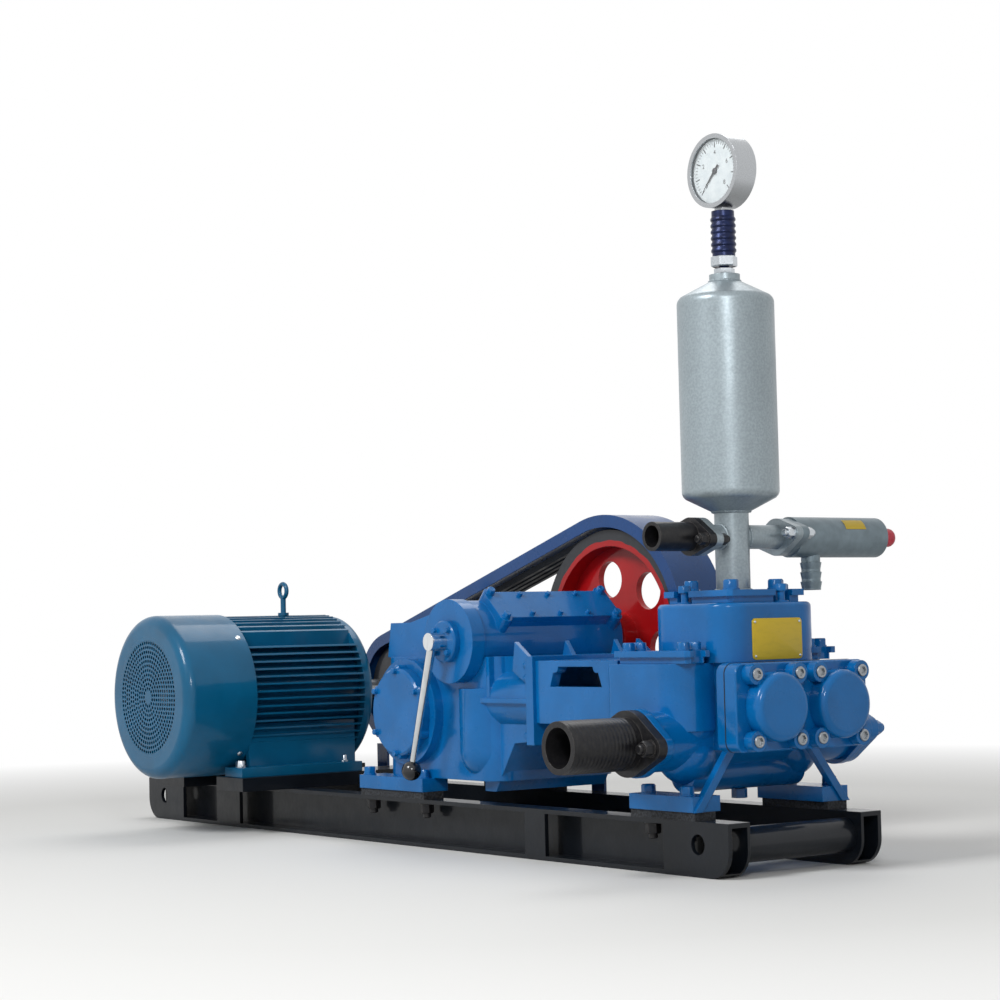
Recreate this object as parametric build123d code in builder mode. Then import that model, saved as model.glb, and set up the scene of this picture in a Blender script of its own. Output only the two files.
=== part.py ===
from build123d import *
import os
from math import asin, cos, degrees, hypot, radians, sin, tan

# Skid-mounted triplex mud pump with its electric motor and V-belt drive. Millimetres.
# Origin: centre of the skid's footprint, on the ground. +X runs to the fluid end, +Y to the
# belt side, +Z up. "Near" is the -Y side (gear lever, suction nipple, motor fan), "far" the +Y.

os.makedirs("parts", exist_ok=True)

# ---- driving dimensions -------------------------------------------------------------------
FIT = 0.05  # radial clearance of a shaft in its bore
SEAT = 0.3  # gap between curved faces of pieces that move past each other

# skid
SKID_LENGTH = 2010
SKID_WIDTH = 350
RAIL_HEIGHT = 92
RAIL_FLANGE = 48
RAIL_WEB = 6
RAIL_LIP = 8
NOSE_RADIUS = 46
END_PLATE_LENGTH = 165
END_PLATE_THICKNESS = 8
LIFT_HOLE_RADIUS = 17
LIFT_HOLE_INSET = 76
STIFFENERS = ((-635, 100), (482, 60))  # centre along X, length
CROSS_PIPE_RADIUS = 30
CROSS_PIPE_WALL = 4
CROSS_PIPE_INSET = 42
CROSS_BEAM_WIDTH = 60
CROSS_BEAM_HEIGHT = 50
CROSS_BEAM_WALL = 4
CROSS_BEAM_PITCH = 560
SLIDE_WIDTH = 110
SLIDE_HEIGHT = 28
SLIDE_OVERHANG = 10

# feet
PAD_THICKNESS = 14
PAD_WIDTH = 46
FOOT_THICKNESS = 26
REAR_FOOT_X = (-95, 128)
FOOT_WIDTH = 60
FOOT_OVERHANG = 3  # foot beyond the outside of the rail

# power end
CRANK_X = 62
CRANK_Z = 260
CASE_REAR_X = -45
CASE_FRONT_X = 330
CASE_HALF_WIDTH = SKID_WIDTH / 2 - 25
CASE_CORNER = 42
DECK_Z = 366
CRANK_RING_RADIUS = 103
CRANK_RING_DEPTH = 20
CRANK_COVER_RADIUS = 85
CRANK_COVER_THICKNESS = 22
BELLY_X = 262
BELLY_Y = 108
BELLY_RADIUS = 60
BELLY_TOP_Z = 306
BELLY_BOTTOM_Z = 128
GUIDE_Z = 284
GUIDE_RADIUS = 59
GUIDE_PITCH = 91
GUIDE_RIB = 9
SIDE_RIB_X = 313
SIDE_RIB_WIDTH = 36
DECK_FIN_HEIGHT = 27
DECK_FIN_LENGTH = 40
DECK_FIN_Y = 58
CASE_FLANGE_X = 440
CASE_FLANGE_THICKNESS = 22
CASE_FLANGE_HALF_WIDTH = 157
CASE_FLANGE_BOTTOM_Z = 204
REAR_BLOCK_TOP_Z = 434
REAR_BLOCK_FRONT_X = 150

# gear case and gear lever
INPUT_X = 228
INPUT_Z = 396
GEAR_RADIUS = 77
GEAR_FAR_Y = 186
DRUM_RADIUS = 80
DRUM_DEPTH = 30
GEAR_COVER_ANGLE = 42
GEAR_COVER_WIDTH = 74
GEAR_COVER_THICKNESS = 12
GEAR_COVER_LUG = 13
GEAR_PAD_RISE = 2
GEAR_COVER_SPAN = (-118, 176)
LEVER_BOSS_RADIUS = 40
LEVER_BOSS_THICKNESS = 14
LEVER_PIN_RADIUS = 10
LEVER_PIN_DEPTH = 38
LEVER_HUB_RADIUS = 17
LEVER_HUB_THICKNESS = 32
LEVER_ARM_INSET = 10  # from the hub's outer face to the arm's axis
LEVER_LENGTH = 258
LEVER_LEAN = 18  # degrees from straight down, towards the motor
LEVER_ROOT_RADIUS = 9
LEVER_TIP_RADIUS = 6
KNOB_RADIUS = 19

# guide frame and piston rods
FRAME_TOP_Z = 358
FRAME_BOTTOM_Z = 244
FRAME_WALL = 20
FRAME_DECK = 11
WINDOW_X = (505, 655)
WINDOW_BOSS = 11
WINDOW_Z = (311, 347)
WINDOW_SLANT = 14
ROD_RADIUS = 17
GLAND_RADIUS = 27
GLAND_LENGTH = 34

# fluid end
FLUID_X = 840
FRAME_END_X = FLUID_X - 140
BLOCK_FRONT_X = FLUID_X + 118
BLOCK_HALF_WIDTH = 100
BLOCK_TOP_Z = 352
BLOCK_BOTTOM_Z = 205
POT_RADIUS = 60
POT_FACE_Y = 178
POT_REAR_X = FLUID_X - 138
POT_EDGE = 12
POT_BOTTOM_Z = 238
BOWL_RADIUS = 52
BOWL_Z = 198
FRONT_FLANGE_X = BLOCK_FRONT_X + 20
FRONT_PLATE_THICKNESS = 27
FRONT_HALF_WIDTH = CASE_HALF_WIDTH
FRONT_CORNER = 18
DOME_RADIUS = 58
DOME_PITCH = 144
DOME_Z = 278.5
DOME_DEPTH = 34
DOME_FLANGE = 20
DOME_EDGE = 12
DOME_SCREW_Y = 96
DOME_SCREW_Z = 110
DOME_LUG_RADIUS = 17
TOWER_LENGTH = 206
TOWER_WIDTH = 226
TOWER_CORNER = 50
TOWER_TOP_Z = 453
COVER_SIZE = 178
COVER_THICKNESS = 22
COVER_STEP = 7
COVER_NOTCH = 19
COVER_NOTCH_OFFSET = 36
VALVE_COVER_NOTCH = 12
VALVE_COVER_CLEARANCE = 4
VALVE_COVER_SETBACK = 26
VALVE_COVER_LENGTH = 200
SUCTION_Z = 221
SUCTION_BORE = 34
SUCTION_RADIUS = 44
SUCTION_END_Y = -393
SUCTION_FLANGE_TILT = 5
SUCTION_BOLT_SPAN = 132
SUCTION_EAR_RADIUS = 21
SUCTION_FLANGE_THICKNESS = 18
SUCTION_BOSS_Y = 232
BLIND_BOSS_Y = 240
BLIND_THICKNESS = 16
CHEST_RADIUS = 31
CHEST_Z = 164
DRAIN_RADIUS = 14
DRAIN_LENGTH = 30
LEG_THICKNESS = 14
FRONT_FOOT_LENGTH = 166
LEG_TOP_Y = 84
LEG_WIDTH = 18

# discharge line, air chamber and gauge
DISCHARGE_RADIUS = 30
DISCHARGE_WALL = 4
TEE_Z = 568
TEE_ARM_RADIUS = 21
TEE_BODY_RADIUS = 35
DISCHARGE_FLANGE_Y = 68
DISCHARGE_FLANGE_THICKNESS = 15
DISCHARGE_BOLT_SPAN = 86
DISCHARGE_EAR_RADIUS = 13
DISCHARGE_COLLAR = 33
DISCHARGE_FLANGE_TILT = 8
DISCHARGE_NIPPLE_RADIUS = 25
DISCHARGE_BORE = 19
DISCHARGE_END_Y = -182
RELIEF_FLANGE_Y = 118
RELIEF_RADIUS = 36
RELIEF_END_Y = 356
RELIEF_CHAMFER = 9
BARB_Y = 186
BARB_RADIUS = 17
BARB_BORE = 11
BARB_BOTTOM_Z = 474
CAP_RADIUS = 17
CAP_LENGTH = 36
CHAMBER_RADIUS = 85
CHAMBER_BOTTOM_Z = 612
CHAMBER_CONE = 26
CHAMBER_TOP_Z = 985
CHAMBER_SHOULDER = 30
CHAMBER_EDGE = 16
CHAMBER_BOSS_RADIUS = 27
CHAMBER_BOSS_TOP_Z = 1027
STEM_RADIUS = 9
DAMPER_BOTTOM_Z = 1042
DAMPER_TOP_Z = 1139
DAMPER_RADIUS = 20
GAUGE_Z = 1209
GAUGE_RADIUS = 65
GAUGE_DEPTH = 46
GAUGE_BEZEL = 8

# motor
MOTOR_X = -550
MOTOR_Z = 290
MOTOR_CORE_RADIUS = 142
MOTOR_FIN_RADIUS = 168
MOTOR_FIN = 4
MOTOR_FIN_PITCH = 15.5
MOTOR_FIN_ROWS = 14
MOTOR_REAR_Y = -246
MOTOR_FRONT_Y = 26
MOTOR_FOOT_SPAN = 254
MOTOR_FOOT_WIDTH = 72
MOTOR_FOOT_THICKNESS = 20
MOTOR_FOOT_Y = (-281, 16)
SHIELD_THICKNESS = 26
SHIELD_HUB_RADIUS = 62
SHIELD_HUB_LENGTH = 24
COWL_RADIUS = 172
COWL_WALL = 2.5
COWL_END_Y = -412
COWL_EDGE = 22
GRILLE_RADIUS = 128
GRILLE_THICKNESS = 4
GRILLE_SLOT = 9
FAN_RADIUS = 118
FAN_HUB_RADIUS = 34
FAN_BLADES = 7
FAN_SHEET = 4
FAN_GAP = 40
MOTOR_SHAFT_RADIUS = 21
EYE_RADIUS = 15
EYE_ROD = 6
EYE_Y = -77
EYE_Z = 512
TERMINAL_BOX = (70, 130, 110)  # depth along X, length along Y, height

# V-belt drive
BELT_Y = 257
BELT_PITCH = 19
BELTS = 4
PUMP_PULLEY_RADIUS = 215
MOTOR_PULLEY_RADIUS = 94
RIM_THICKNESS = 33
RIM_SIDE = 12.5
GROOVE_ANGLE = 19  # half angle
GROOVE_TOP = 17
GROOVE_DEPTH = 13
BELT_PROUD = 1.5
BELT_HEIGHT = 11
WEB_THICKNESS = 14
WEB_HOLES = 6
WEB_HOLE_RADIUS = 37
WEB_HOLE_CIRCLE = 122
WEB_HOLE_START = 48
PUMP_HUB_RADIUS = 46
INPUT_SHAFT_RADIUS = 25
INPUT_SHAFT_DEPTH = 60
MOTOR_HUB_RADIUS = 36

# belt guard
GUARD_GAP = 27
GUARD_SHEET = 3
GUARD_NEAR_Y = 200
GUARD_FAR_Y = 316
GUARD_LIP = 22

pulley_span = hypot(INPUT_X - MOTOR_X, INPUT_Z - MOTOR_Z)
pulley_slope = degrees(asin((INPUT_Z - MOTOR_Z) / pulley_span))
foot_outer_y = SKID_WIDTH / 2 + FOOT_OVERHANG
foot_inner_y = foot_outer_y - FOOT_WIDTH
foot_bottom_z = RAIL_HEIGHT + PAD_THICKNESS
foot_top_z = foot_bottom_z + FOOT_THICKNESS
front_foot_x = (FLUID_X - FRONT_FOOT_LENGTH / 2, FLUID_X + FRONT_FOOT_LENGTH / 2)
web_inner_y = SKID_WIDTH / 2 - RAIL_FLANGE
motor_foot_z = RAIL_HEIGHT + SLIDE_HEIGHT


def across(y):
    """A plane that faces -Y, at the given y. Its x is the machine's X and its y is Z."""
    return Plane.XZ.offset(-y)


def add_disc(radius, at, y_start, y_end, mode=Mode.ADD):
    """A round disc or bar along Y, added to the part that is being built."""
    with BuildSketch(across(y_start)) as disc:
        with Locations(at):
            Circle(radius)
    extrude(disc.sketch, amount=y_start - y_end, mode=mode)


def cut_bore(radius, at, y_start, y_end):
    """A round hole along Y, cut through the part that is being built."""
    add_disc(radius, at, y_start, y_end, mode=Mode.SUBTRACT)


def save(builder, name):
    builder.part.label = name
    export_step(builder.part, f"parts/{name}.step")


# ---- skid ---------------------------------------------------------------------------------
for side, name in ((-1, "near_rail"), (1, "far_rail")):
    outer_y = side * SKID_WIDTH / 2
    with BuildPart() as rail:
        with BuildSketch(Plane.YZ.offset(-SKID_LENGTH / 2)):
            with Locations((outer_y - side * RAIL_FLANGE / 2, RAIL_HEIGHT / 2)):
                Rectangle(RAIL_FLANGE, RAIL_HEIGHT)
            mouth = RAIL_FLANGE - RAIL_WEB
            with Locations((outer_y - side * mouth / 2, RAIL_HEIGHT / 2)):
                Rectangle(mouth, RAIL_HEIGHT - 2 * RAIL_LIP, mode=Mode.SUBTRACT)
        extrude(amount=SKID_LENGTH)
        end_x = (SKID_LENGTH - END_PLATE_LENGTH) / 2
        plates = ((-end_x, END_PLATE_LENGTH), (end_x, END_PLATE_LENGTH)) + STIFFENERS
        with BuildSketch(across(outer_y)):
            for x, length in plates:
                with Locations((x, RAIL_HEIGHT / 2)):
                    Rectangle(length, RAIL_HEIGHT - 2 * RAIL_LIP)
        extrude(amount=side * END_PLATE_THICKNESS)
        for end in (-1, 1):
            nose_x = end * (SKID_LENGTH / 2 - NOSE_RADIUS / 2)
            with BuildSketch(across(outer_y)):
                with Locations((nose_x, NOSE_RADIUS / 2)):
                    Rectangle(NOSE_RADIUS, NOSE_RADIUS)
                with Locations((nose_x - end * NOSE_RADIUS / 2, NOSE_RADIUS)):
                    Circle(NOSE_RADIUS, mode=Mode.SUBTRACT)
            extrude(amount=side * RAIL_FLANGE, mode=Mode.SUBTRACT)
            with BuildSketch(across(outer_y)):
                with Locations((end * (SKID_LENGTH / 2 - LIFT_HOLE_INSET), RAIL_HEIGHT / 2 + 8)):
                    Circle(LIFT_HOLE_RADIUS)
            extrude(amount=side * RAIL_FLANGE, mode=Mode.SUBTRACT)
    save(rail, name)

for end, name in ((1, "front_cross_pipe"), (-1, "rear_cross_pipe")):
    with BuildPart() as cross_pipe:
        with BuildSketch(across(-web_inner_y)):
            with Locations((end * (SKID_LENGTH / 2 - CROSS_PIPE_INSET), RAIL_HEIGHT / 2 + 5)):
                Circle(CROSS_PIPE_RADIUS)
                Circle(CROSS_PIPE_RADIUS - CROSS_PIPE_WALL, mode=Mode.SUBTRACT)
        extrude(amount=-2 * web_inner_y)
    save(cross_pipe, name)

with BuildPart() as cross_beams:
    with BuildSketch(across(-web_inner_y)):
        for x in (-CROSS_BEAM_PITCH, 0, CROSS_BEAM_PITCH):
            with Locations((x, CROSS_BEAM_HEIGHT / 2)):
                Rectangle(CROSS_BEAM_WIDTH, CROSS_BEAM_HEIGHT)
                hollow_width = CROSS_BEAM_WIDTH - 2 * CROSS_BEAM_WALL
                hollow_height = CROSS_BEAM_HEIGHT - 2 * CROSS_BEAM_WALL
                Rectangle(hollow_width, hollow_height, mode=Mode.SUBTRACT)
    extrude(amount=-2 * web_inner_y)
save(cross_beams, "cross_beams")

for end, name in ((1, "motor_slide_front"), (-1, "motor_slide_rear")):
    with BuildPart() as slide:
        slide_start = MOTOR_FOOT_Y[0] - SLIDE_OVERHANG
        with BuildSketch(Plane.XY.offset(RAIL_HEIGHT)):
            slide_mid = (slide_start + SKID_WIDTH / 2) / 2
            with Locations((MOTOR_X + end * MOTOR_FOOT_SPAN / 2, slide_mid)):
                Rectangle(SLIDE_WIDTH, SKID_WIDTH / 2 - slide_start)
        extrude(amount=SLIDE_HEIGHT)
    save(slide, name)

with BuildPart() as foot_pads:
    with BuildSketch(Plane.XY.offset(RAIL_HEIGHT)):
        for x_start, x_end in (REAR_FOOT_X, front_foot_x):
            for side in (-1, 1):
                with Locations(((x_start + x_end) / 2, side * (SKID_WIDTH - PAD_WIDTH) / 2)):
                    Rectangle(x_end - x_start, PAD_WIDTH)
    extrude(amount=PAD_THICKNESS)
save(foot_pads, "foot_pads")

# ---- motor --------------------------------------------------------------------------------
motor_axis = (MOTOR_X, MOTOR_Z)

with BuildPart() as motor_frame:
    with BuildSketch(across(MOTOR_REAR_Y)):
        with Locations(motor_axis):
            Circle(MOTOR_CORE_RADIUS)
            with GridLocations(0, MOTOR_FIN_PITCH, 1, MOTOR_FIN_ROWS):
                Rectangle(2 * MOTOR_FIN_RADIUS, MOTOR_FIN)
            with GridLocations(MOTOR_FIN_PITCH, 0, MOTOR_FIN_ROWS, 1):
                Rectangle(MOTOR_FIN, 2 * MOTOR_FIN_RADIUS)
            Circle(MOTOR_FIN_RADIUS, mode=Mode.INTERSECT)
    extrude(amount=-(MOTOR_FRONT_Y - MOTOR_REAR_Y))
    with BuildSketch(across(MOTOR_FOOT_Y[0])):
        for side in (-1, 1):
            foot_x = MOTOR_X + side * MOTOR_FOOT_SPAN / 2
            with Locations((foot_x, motor_foot_z + MOTOR_FOOT_THICKNESS / 2)):
                Rectangle(MOTOR_FOOT_WIDTH, MOTOR_FOOT_THICKNESS)
    extrude(amount=-(MOTOR_FOOT_Y[1] - MOTOR_FOOT_Y[0]))
    with BuildSketch(across(MOTOR_REAR_Y)):
        for side in (-1, 1):
            web_x = MOTOR_X + side * MOTOR_FOOT_SPAN / 2
            web_top_z = MOTOR_Z - 60
            with Locations((web_x, (motor_foot_z + web_top_z) / 2)):
                Rectangle(16, web_top_z - motor_foot_z)
    extrude(amount=-(MOTOR_FOOT_Y[1] - MOTOR_REAR_Y))
    cut_bore(MOTOR_SHAFT_RADIUS + FIT, motor_axis, MOTOR_REAR_Y, MOTOR_FRONT_Y)
save(motor_frame, "motor_frame")

with BuildPart() as motor_end_shield:
    shield_front_y = MOTOR_FRONT_Y + SHIELD_THICKNESS
    add_disc(MOTOR_FIN_RADIUS - 4, motor_axis, MOTOR_FRONT_Y, shield_front_y)
    fillet(motor_end_shield.edges().filter_by(GeomType.CIRCLE).sort_by(Axis.Y)[-1], 14)
    add_disc(SHIELD_HUB_RADIUS, motor_axis, shield_front_y, shield_front_y + SHIELD_HUB_LENGTH)
    cut_bore(MOTOR_SHAFT_RADIUS + FIT, motor_axis, MOTOR_FRONT_Y, shield_front_y + SHIELD_HUB_LENGTH)
save(motor_end_shield, "motor_end_shield")

with BuildPart() as motor_fan_cowl:
    add_disc(COWL_RADIUS, motor_axis, COWL_END_Y, MOTOR_REAR_Y)
    fillet(motor_fan_cowl.edges().filter_by(GeomType.CIRCLE).sort_by(Axis.Y)[0], COWL_EDGE)
    offset(amount=-COWL_WALL, openings=motor_fan_cowl.faces().sort_by(Axis.Y)[-1])
    cut_bore(GRILLE_RADIUS, motor_axis, COWL_END_Y - 1, COWL_END_Y + COWL_WALL + 1)
save(motor_fan_cowl, "motor_fan_cowl")

with BuildPart() as fan_grille:
    add_disc(GRILLE_RADIUS, motor_axis, COWL_END_Y, COWL_END_Y + GRILLE_THICKNESS)
    ring_pitch = 2 * GRILLE_SLOT
    ring_count = int((GRILLE_RADIUS - FAN_HUB_RADIUS - 6) / ring_pitch)
    with BuildSketch(across(COWL_END_Y)):
        with Locations(motor_axis):
            for ring in range(ring_count):
                slot_outer = GRILLE_RADIUS - 6 - ring * ring_pitch
                Circle(slot_outer)
                Circle(slot_outer - GRILLE_SLOT, mode=Mode.SUBTRACT)
            with PolarLocations(0, 3, start_angle=30, angular_range=180):
                Rectangle(2 * GRILLE_RADIUS, GRILLE_SLOT, mode=Mode.SUBTRACT)
    extrude(amount=-GRILLE_THICKNESS, mode=Mode.SUBTRACT)
save(fan_grille, "fan_grille")

with BuildPart() as motor_fan:
    fan_start_y = COWL_END_Y + FAN_GAP
    fan_end_y = MOTOR_REAR_Y - FAN_GAP
    add_disc(FAN_HUB_RADIUS, motor_axis, fan_start_y, fan_end_y)
    add_disc(FAN_RADIUS, motor_axis, fan_end_y - FAN_SHEET, fan_end_y)
    with BuildSketch(across(fan_start_y)):
        with Locations(motor_axis):
            with PolarLocations(FAN_RADIUS / 2, FAN_BLADES):
                Rectangle(FAN_RADIUS - FAN_SHEET, FAN_SHEET)
    extrude(amount=-(fan_end_y - fan_start_y))
    cut_bore(MOTOR_SHAFT_RADIUS, motor_axis, fan_start_y, fan_end_y)
save(motor_fan, "motor_fan")

with BuildPart() as motor_shaft:
    shaft_end_y = BELT_Y + (BELTS - 1) * BELT_PITCH / 2 + RIM_SIDE
    add_disc(MOTOR_SHAFT_RADIUS, motor_axis, fan_start_y, shaft_end_y)
save(motor_shaft, "motor_shaft")

with BuildPart() as motor_terminal_box:
    depth, length, height = TERMINAL_BOX
    with BuildSketch(Plane.YZ.offset(MOTOR_X - MOTOR_FIN_RADIUS - depth + 30)):
        with Locations(((MOTOR_REAR_Y + MOTOR_FRONT_Y) / 2, MOTOR_Z + 20)):
            RectangleRounded(length, height, 10)
    extrude(amount=depth)
    with BuildSketch(across(MOTOR_REAR_Y)):
        with Locations(motor_axis):
            Circle(MOTOR_FIN_RADIUS + SEAT)
    extrude(amount=-(MOTOR_FRONT_Y - MOTOR_REAR_Y), mode=Mode.SUBTRACT)
save(motor_terminal_box, "motor_terminal_box")

with BuildPart() as motor_eye_bolt:
    eye_top_z = MOTOR_Z + MOTOR_FIN_RADIUS
    with BuildSketch(Plane.XY.offset(eye_top_z)):
        with Locations((MOTOR_X, EYE_Y)):
            Circle(2 * EYE_ROD)
    extrude(amount=6)
    with BuildSketch(Plane.XY.offset(eye_top_z)):
        with Locations((MOTOR_X, EYE_Y)):
            Circle(EYE_ROD)
    extrude(amount=EYE_Z - EYE_RADIUS - eye_top_z + EYE_ROD / 2)
    with BuildSketch(Plane((MOTOR_X + EYE_RADIUS, EYE_Y, EYE_Z), x_dir=(1, 0, 0), z_dir=(0, 0, 1))):
        Circle(EYE_ROD * 0.8)
    revolve(axis=Axis((MOTOR_X, EYE_Y, EYE_Z), (0, 1, 0)), revolution_arc=360)
save(motor_eye_bolt, "motor_eye_bolt")

# ---- V-belt drive -------------------------------------------------------------------------
pump_axis = (INPUT_X, INPUT_Z)
rim_width = (BELTS - 1) * BELT_PITCH + 2 * RIM_SIDE
rim_near_y = BELT_Y - rim_width / 2
rim_far_y = BELT_Y + rim_width / 2
belt_ys = [BELT_Y + (i - (BELTS - 1) / 2) * BELT_PITCH for i in range(BELTS)]


def cut_grooves(radius, centre):
    """Turn the V grooves into a pulley's rim, one under each belt."""
    groove_bottom = GROOVE_TOP / 2 - GROOVE_DEPTH * tan(radians(GROOVE_ANGLE))
    top = GROOVE_TOP / 2 + tan(radians(GROOVE_ANGLE))
    for y in belt_ys:
        with BuildSketch(Plane.YZ.offset(centre[0])) as groove:
            with BuildLine():
                Polyline(
                    (y - top, centre[1] + radius + 1),
                    (y - groove_bottom, centre[1] + radius - GROOVE_DEPTH),
                    (y + groove_bottom, centre[1] + radius - GROOVE_DEPTH),
                    (y + top, centre[1] + radius + 1),
                    close=True,
                )
            make_face()
        axis = Axis((centre[0], y, centre[1]), (0, 1, 0))
        revolve(groove.sketch, axis=axis, mode=Mode.SUBTRACT)


with BuildPart() as pump_pulley:
    add_disc(PUMP_PULLEY_RADIUS, pump_axis, rim_near_y, rim_far_y)
    cut_bore(PUMP_PULLEY_RADIUS - RIM_THICKNESS, pump_axis, rim_near_y, BELT_Y - WEB_THICKNESS / 2)
    cut_bore(PUMP_PULLEY_RADIUS - RIM_THICKNESS, pump_axis, BELT_Y + WEB_THICKNESS / 2, rim_far_y)
    add_disc(PUMP_HUB_RADIUS, pump_axis, rim_near_y, rim_far_y)
    with BuildSketch(across(BELT_Y)):
        with Locations(pump_axis):
            with PolarLocations(WEB_HOLE_CIRCLE, WEB_HOLES, start_angle=WEB_HOLE_START):
                Circle(WEB_HOLE_RADIUS)
    extrude(amount=WEB_THICKNESS, both=True, mode=Mode.SUBTRACT)
    cut_grooves(PUMP_PULLEY_RADIUS, pump_axis)
    cut_bore(INPUT_SHAFT_RADIUS, pump_axis, rim_near_y, rim_far_y)
save(pump_pulley, "pump_pulley")

with BuildPart() as input_shaft:
    add_disc(INPUT_SHAFT_RADIUS, pump_axis, GEAR_FAR_Y - INPUT_SHAFT_DEPTH, rim_far_y + 4)
save(input_shaft, "input_shaft")

with BuildPart() as motor_pulley:
    add_disc(MOTOR_PULLEY_RADIUS, motor_axis, rim_near_y, rim_far_y)
    add_disc(MOTOR_HUB_RADIUS, motor_axis, rim_near_y - 14, rim_near_y)
    cut_grooves(MOTOR_PULLEY_RADIUS, motor_axis)
    cut_bore(MOTOR_SHAFT_RADIUS, motor_axis, rim_near_y - 14, rim_far_y)
save(motor_pulley, "motor_pulley")


def tangent_loop(pump_radius, motor_radius, plane=Plane.XY):
    """The closed line of a belt or band: two tangents and the arcs round both pulleys."""
    lean = degrees(asin((pump_radius - motor_radius) / pulley_span))
    up = radians(90 + pulley_slope + lean)
    down = radians(-90 + pulley_slope - lean)
    with BuildLine(plane) as loop:
        pump_up = (INPUT_X + pump_radius * cos(up), INPUT_Z + pump_radius * sin(up))
        pump_down = (INPUT_X + pump_radius * cos(down), INPUT_Z + pump_radius * sin(down))
        motor_up = (MOTOR_X + motor_radius * cos(up), MOTOR_Z + motor_radius * sin(up))
        motor_down = (MOTOR_X + motor_radius * cos(down), MOTOR_Z + motor_radius * sin(down))
        nose = radians(pulley_slope)
        pump_nose = (INPUT_X + pump_radius * cos(nose), INPUT_Z + pump_radius * sin(nose))
        motor_nose = (MOTOR_X - motor_radius * cos(nose), MOTOR_Z - motor_radius * sin(nose))
        Line(motor_up, pump_up)
        ThreePointArc(pump_up, pump_nose, pump_down)
        Line(pump_down, motor_down)
        ThreePointArc(motor_down, motor_nose, motor_up)
    return loop


with BuildPart() as drive_belts:
    belt_depth = BELT_HEIGHT - BELT_PROUD
    gap = SEAT / cos(radians(GROOVE_ANGLE))
    top_half = GROOVE_TOP / 2 + BELT_PROUD * tan(radians(GROOVE_ANGLE)) - gap
    bottom_half = GROOVE_TOP / 2 - belt_depth * tan(radians(GROOVE_ANGLE)) - gap
    for y in belt_ys:
        path = tangent_loop(PUMP_PULLEY_RADIUS, MOTOR_PULLEY_RADIUS, across(y)).wire()
        with BuildSketch(Plane(path @ 0, x_dir=(0, 1, 0), z_dir=path % 0)) as belt_section:
            with BuildLine():
                # the sketch's y runs out of the loop, as the path runs from motor to pump
                Polyline(
                    (-top_half, BELT_PROUD),
                    (-bottom_half, -belt_depth),
                    (bottom_half, -belt_depth),
                    (top_half, BELT_PROUD),
                    close=True,
                )
            make_face()
        sweep(path=path)
save(drive_belts, "drive_belts")

guard_pump_radius = PUMP_PULLEY_RADIUS + GUARD_GAP
guard_motor_radius = MOTOR_PULLEY_RADIUS + GUARD_GAP


def guard_band(outer, inner, y_start, y_end):
    """A closed band round both pulleys, between two offsets from the guard's inner face."""
    outside = tangent_loop(guard_pump_radius + outer, guard_motor_radius + outer)
    inside = tangent_loop(guard_pump_radius + inner, guard_motor_radius + inner)
    with BuildSketch(across(y_start)) as band:
        make_face(outside.edges())
        make_face(inside.edges(), mode=Mode.SUBTRACT)
    extrude(band.sketch, amount=y_start - y_end)


with BuildPart() as belt_guard:
    guard_band(GUARD_SHEET, 0, GUARD_NEAR_Y, GUARD_FAR_Y)
    guard_band(GUARD_SHEET, -GUARD_LIP, GUARD_NEAR_Y, GUARD_NEAR_Y + GUARD_SHEET)
    guard_band(GUARD_SHEET, -GUARD_LIP, GUARD_FAR_Y - GUARD_SHEET, GUARD_FAR_Y)
save(belt_guard, "belt_guard")

with BuildPart() as guard_brackets:
    for x, bottom_z in (
        (INPUT_X, INPUT_Z - guard_pump_radius - GUARD_SHEET - 2 * SEAT),
        (MOTOR_X, MOTOR_Z - guard_motor_radius - GUARD_SHEET - 2 * SEAT),
    ):
        with BuildSketch(Plane.YZ.offset(x - 20)):
            with BuildLine():
                Polyline(
                    (SKID_WIDTH / 2, 12),
                    (SKID_WIDTH / 2 + 6, 12),
                    (SKID_WIDTH / 2 + 6, bottom_z - 6),
                    (GUARD_FAR_Y, bottom_z - 6),
                    (GUARD_FAR_Y, bottom_z),
                    (SKID_WIDTH / 2, bottom_z),
                    close=True,
                )
            make_face()
        extrude(amount=40)
save(guard_brackets, "guard_brackets")

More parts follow.
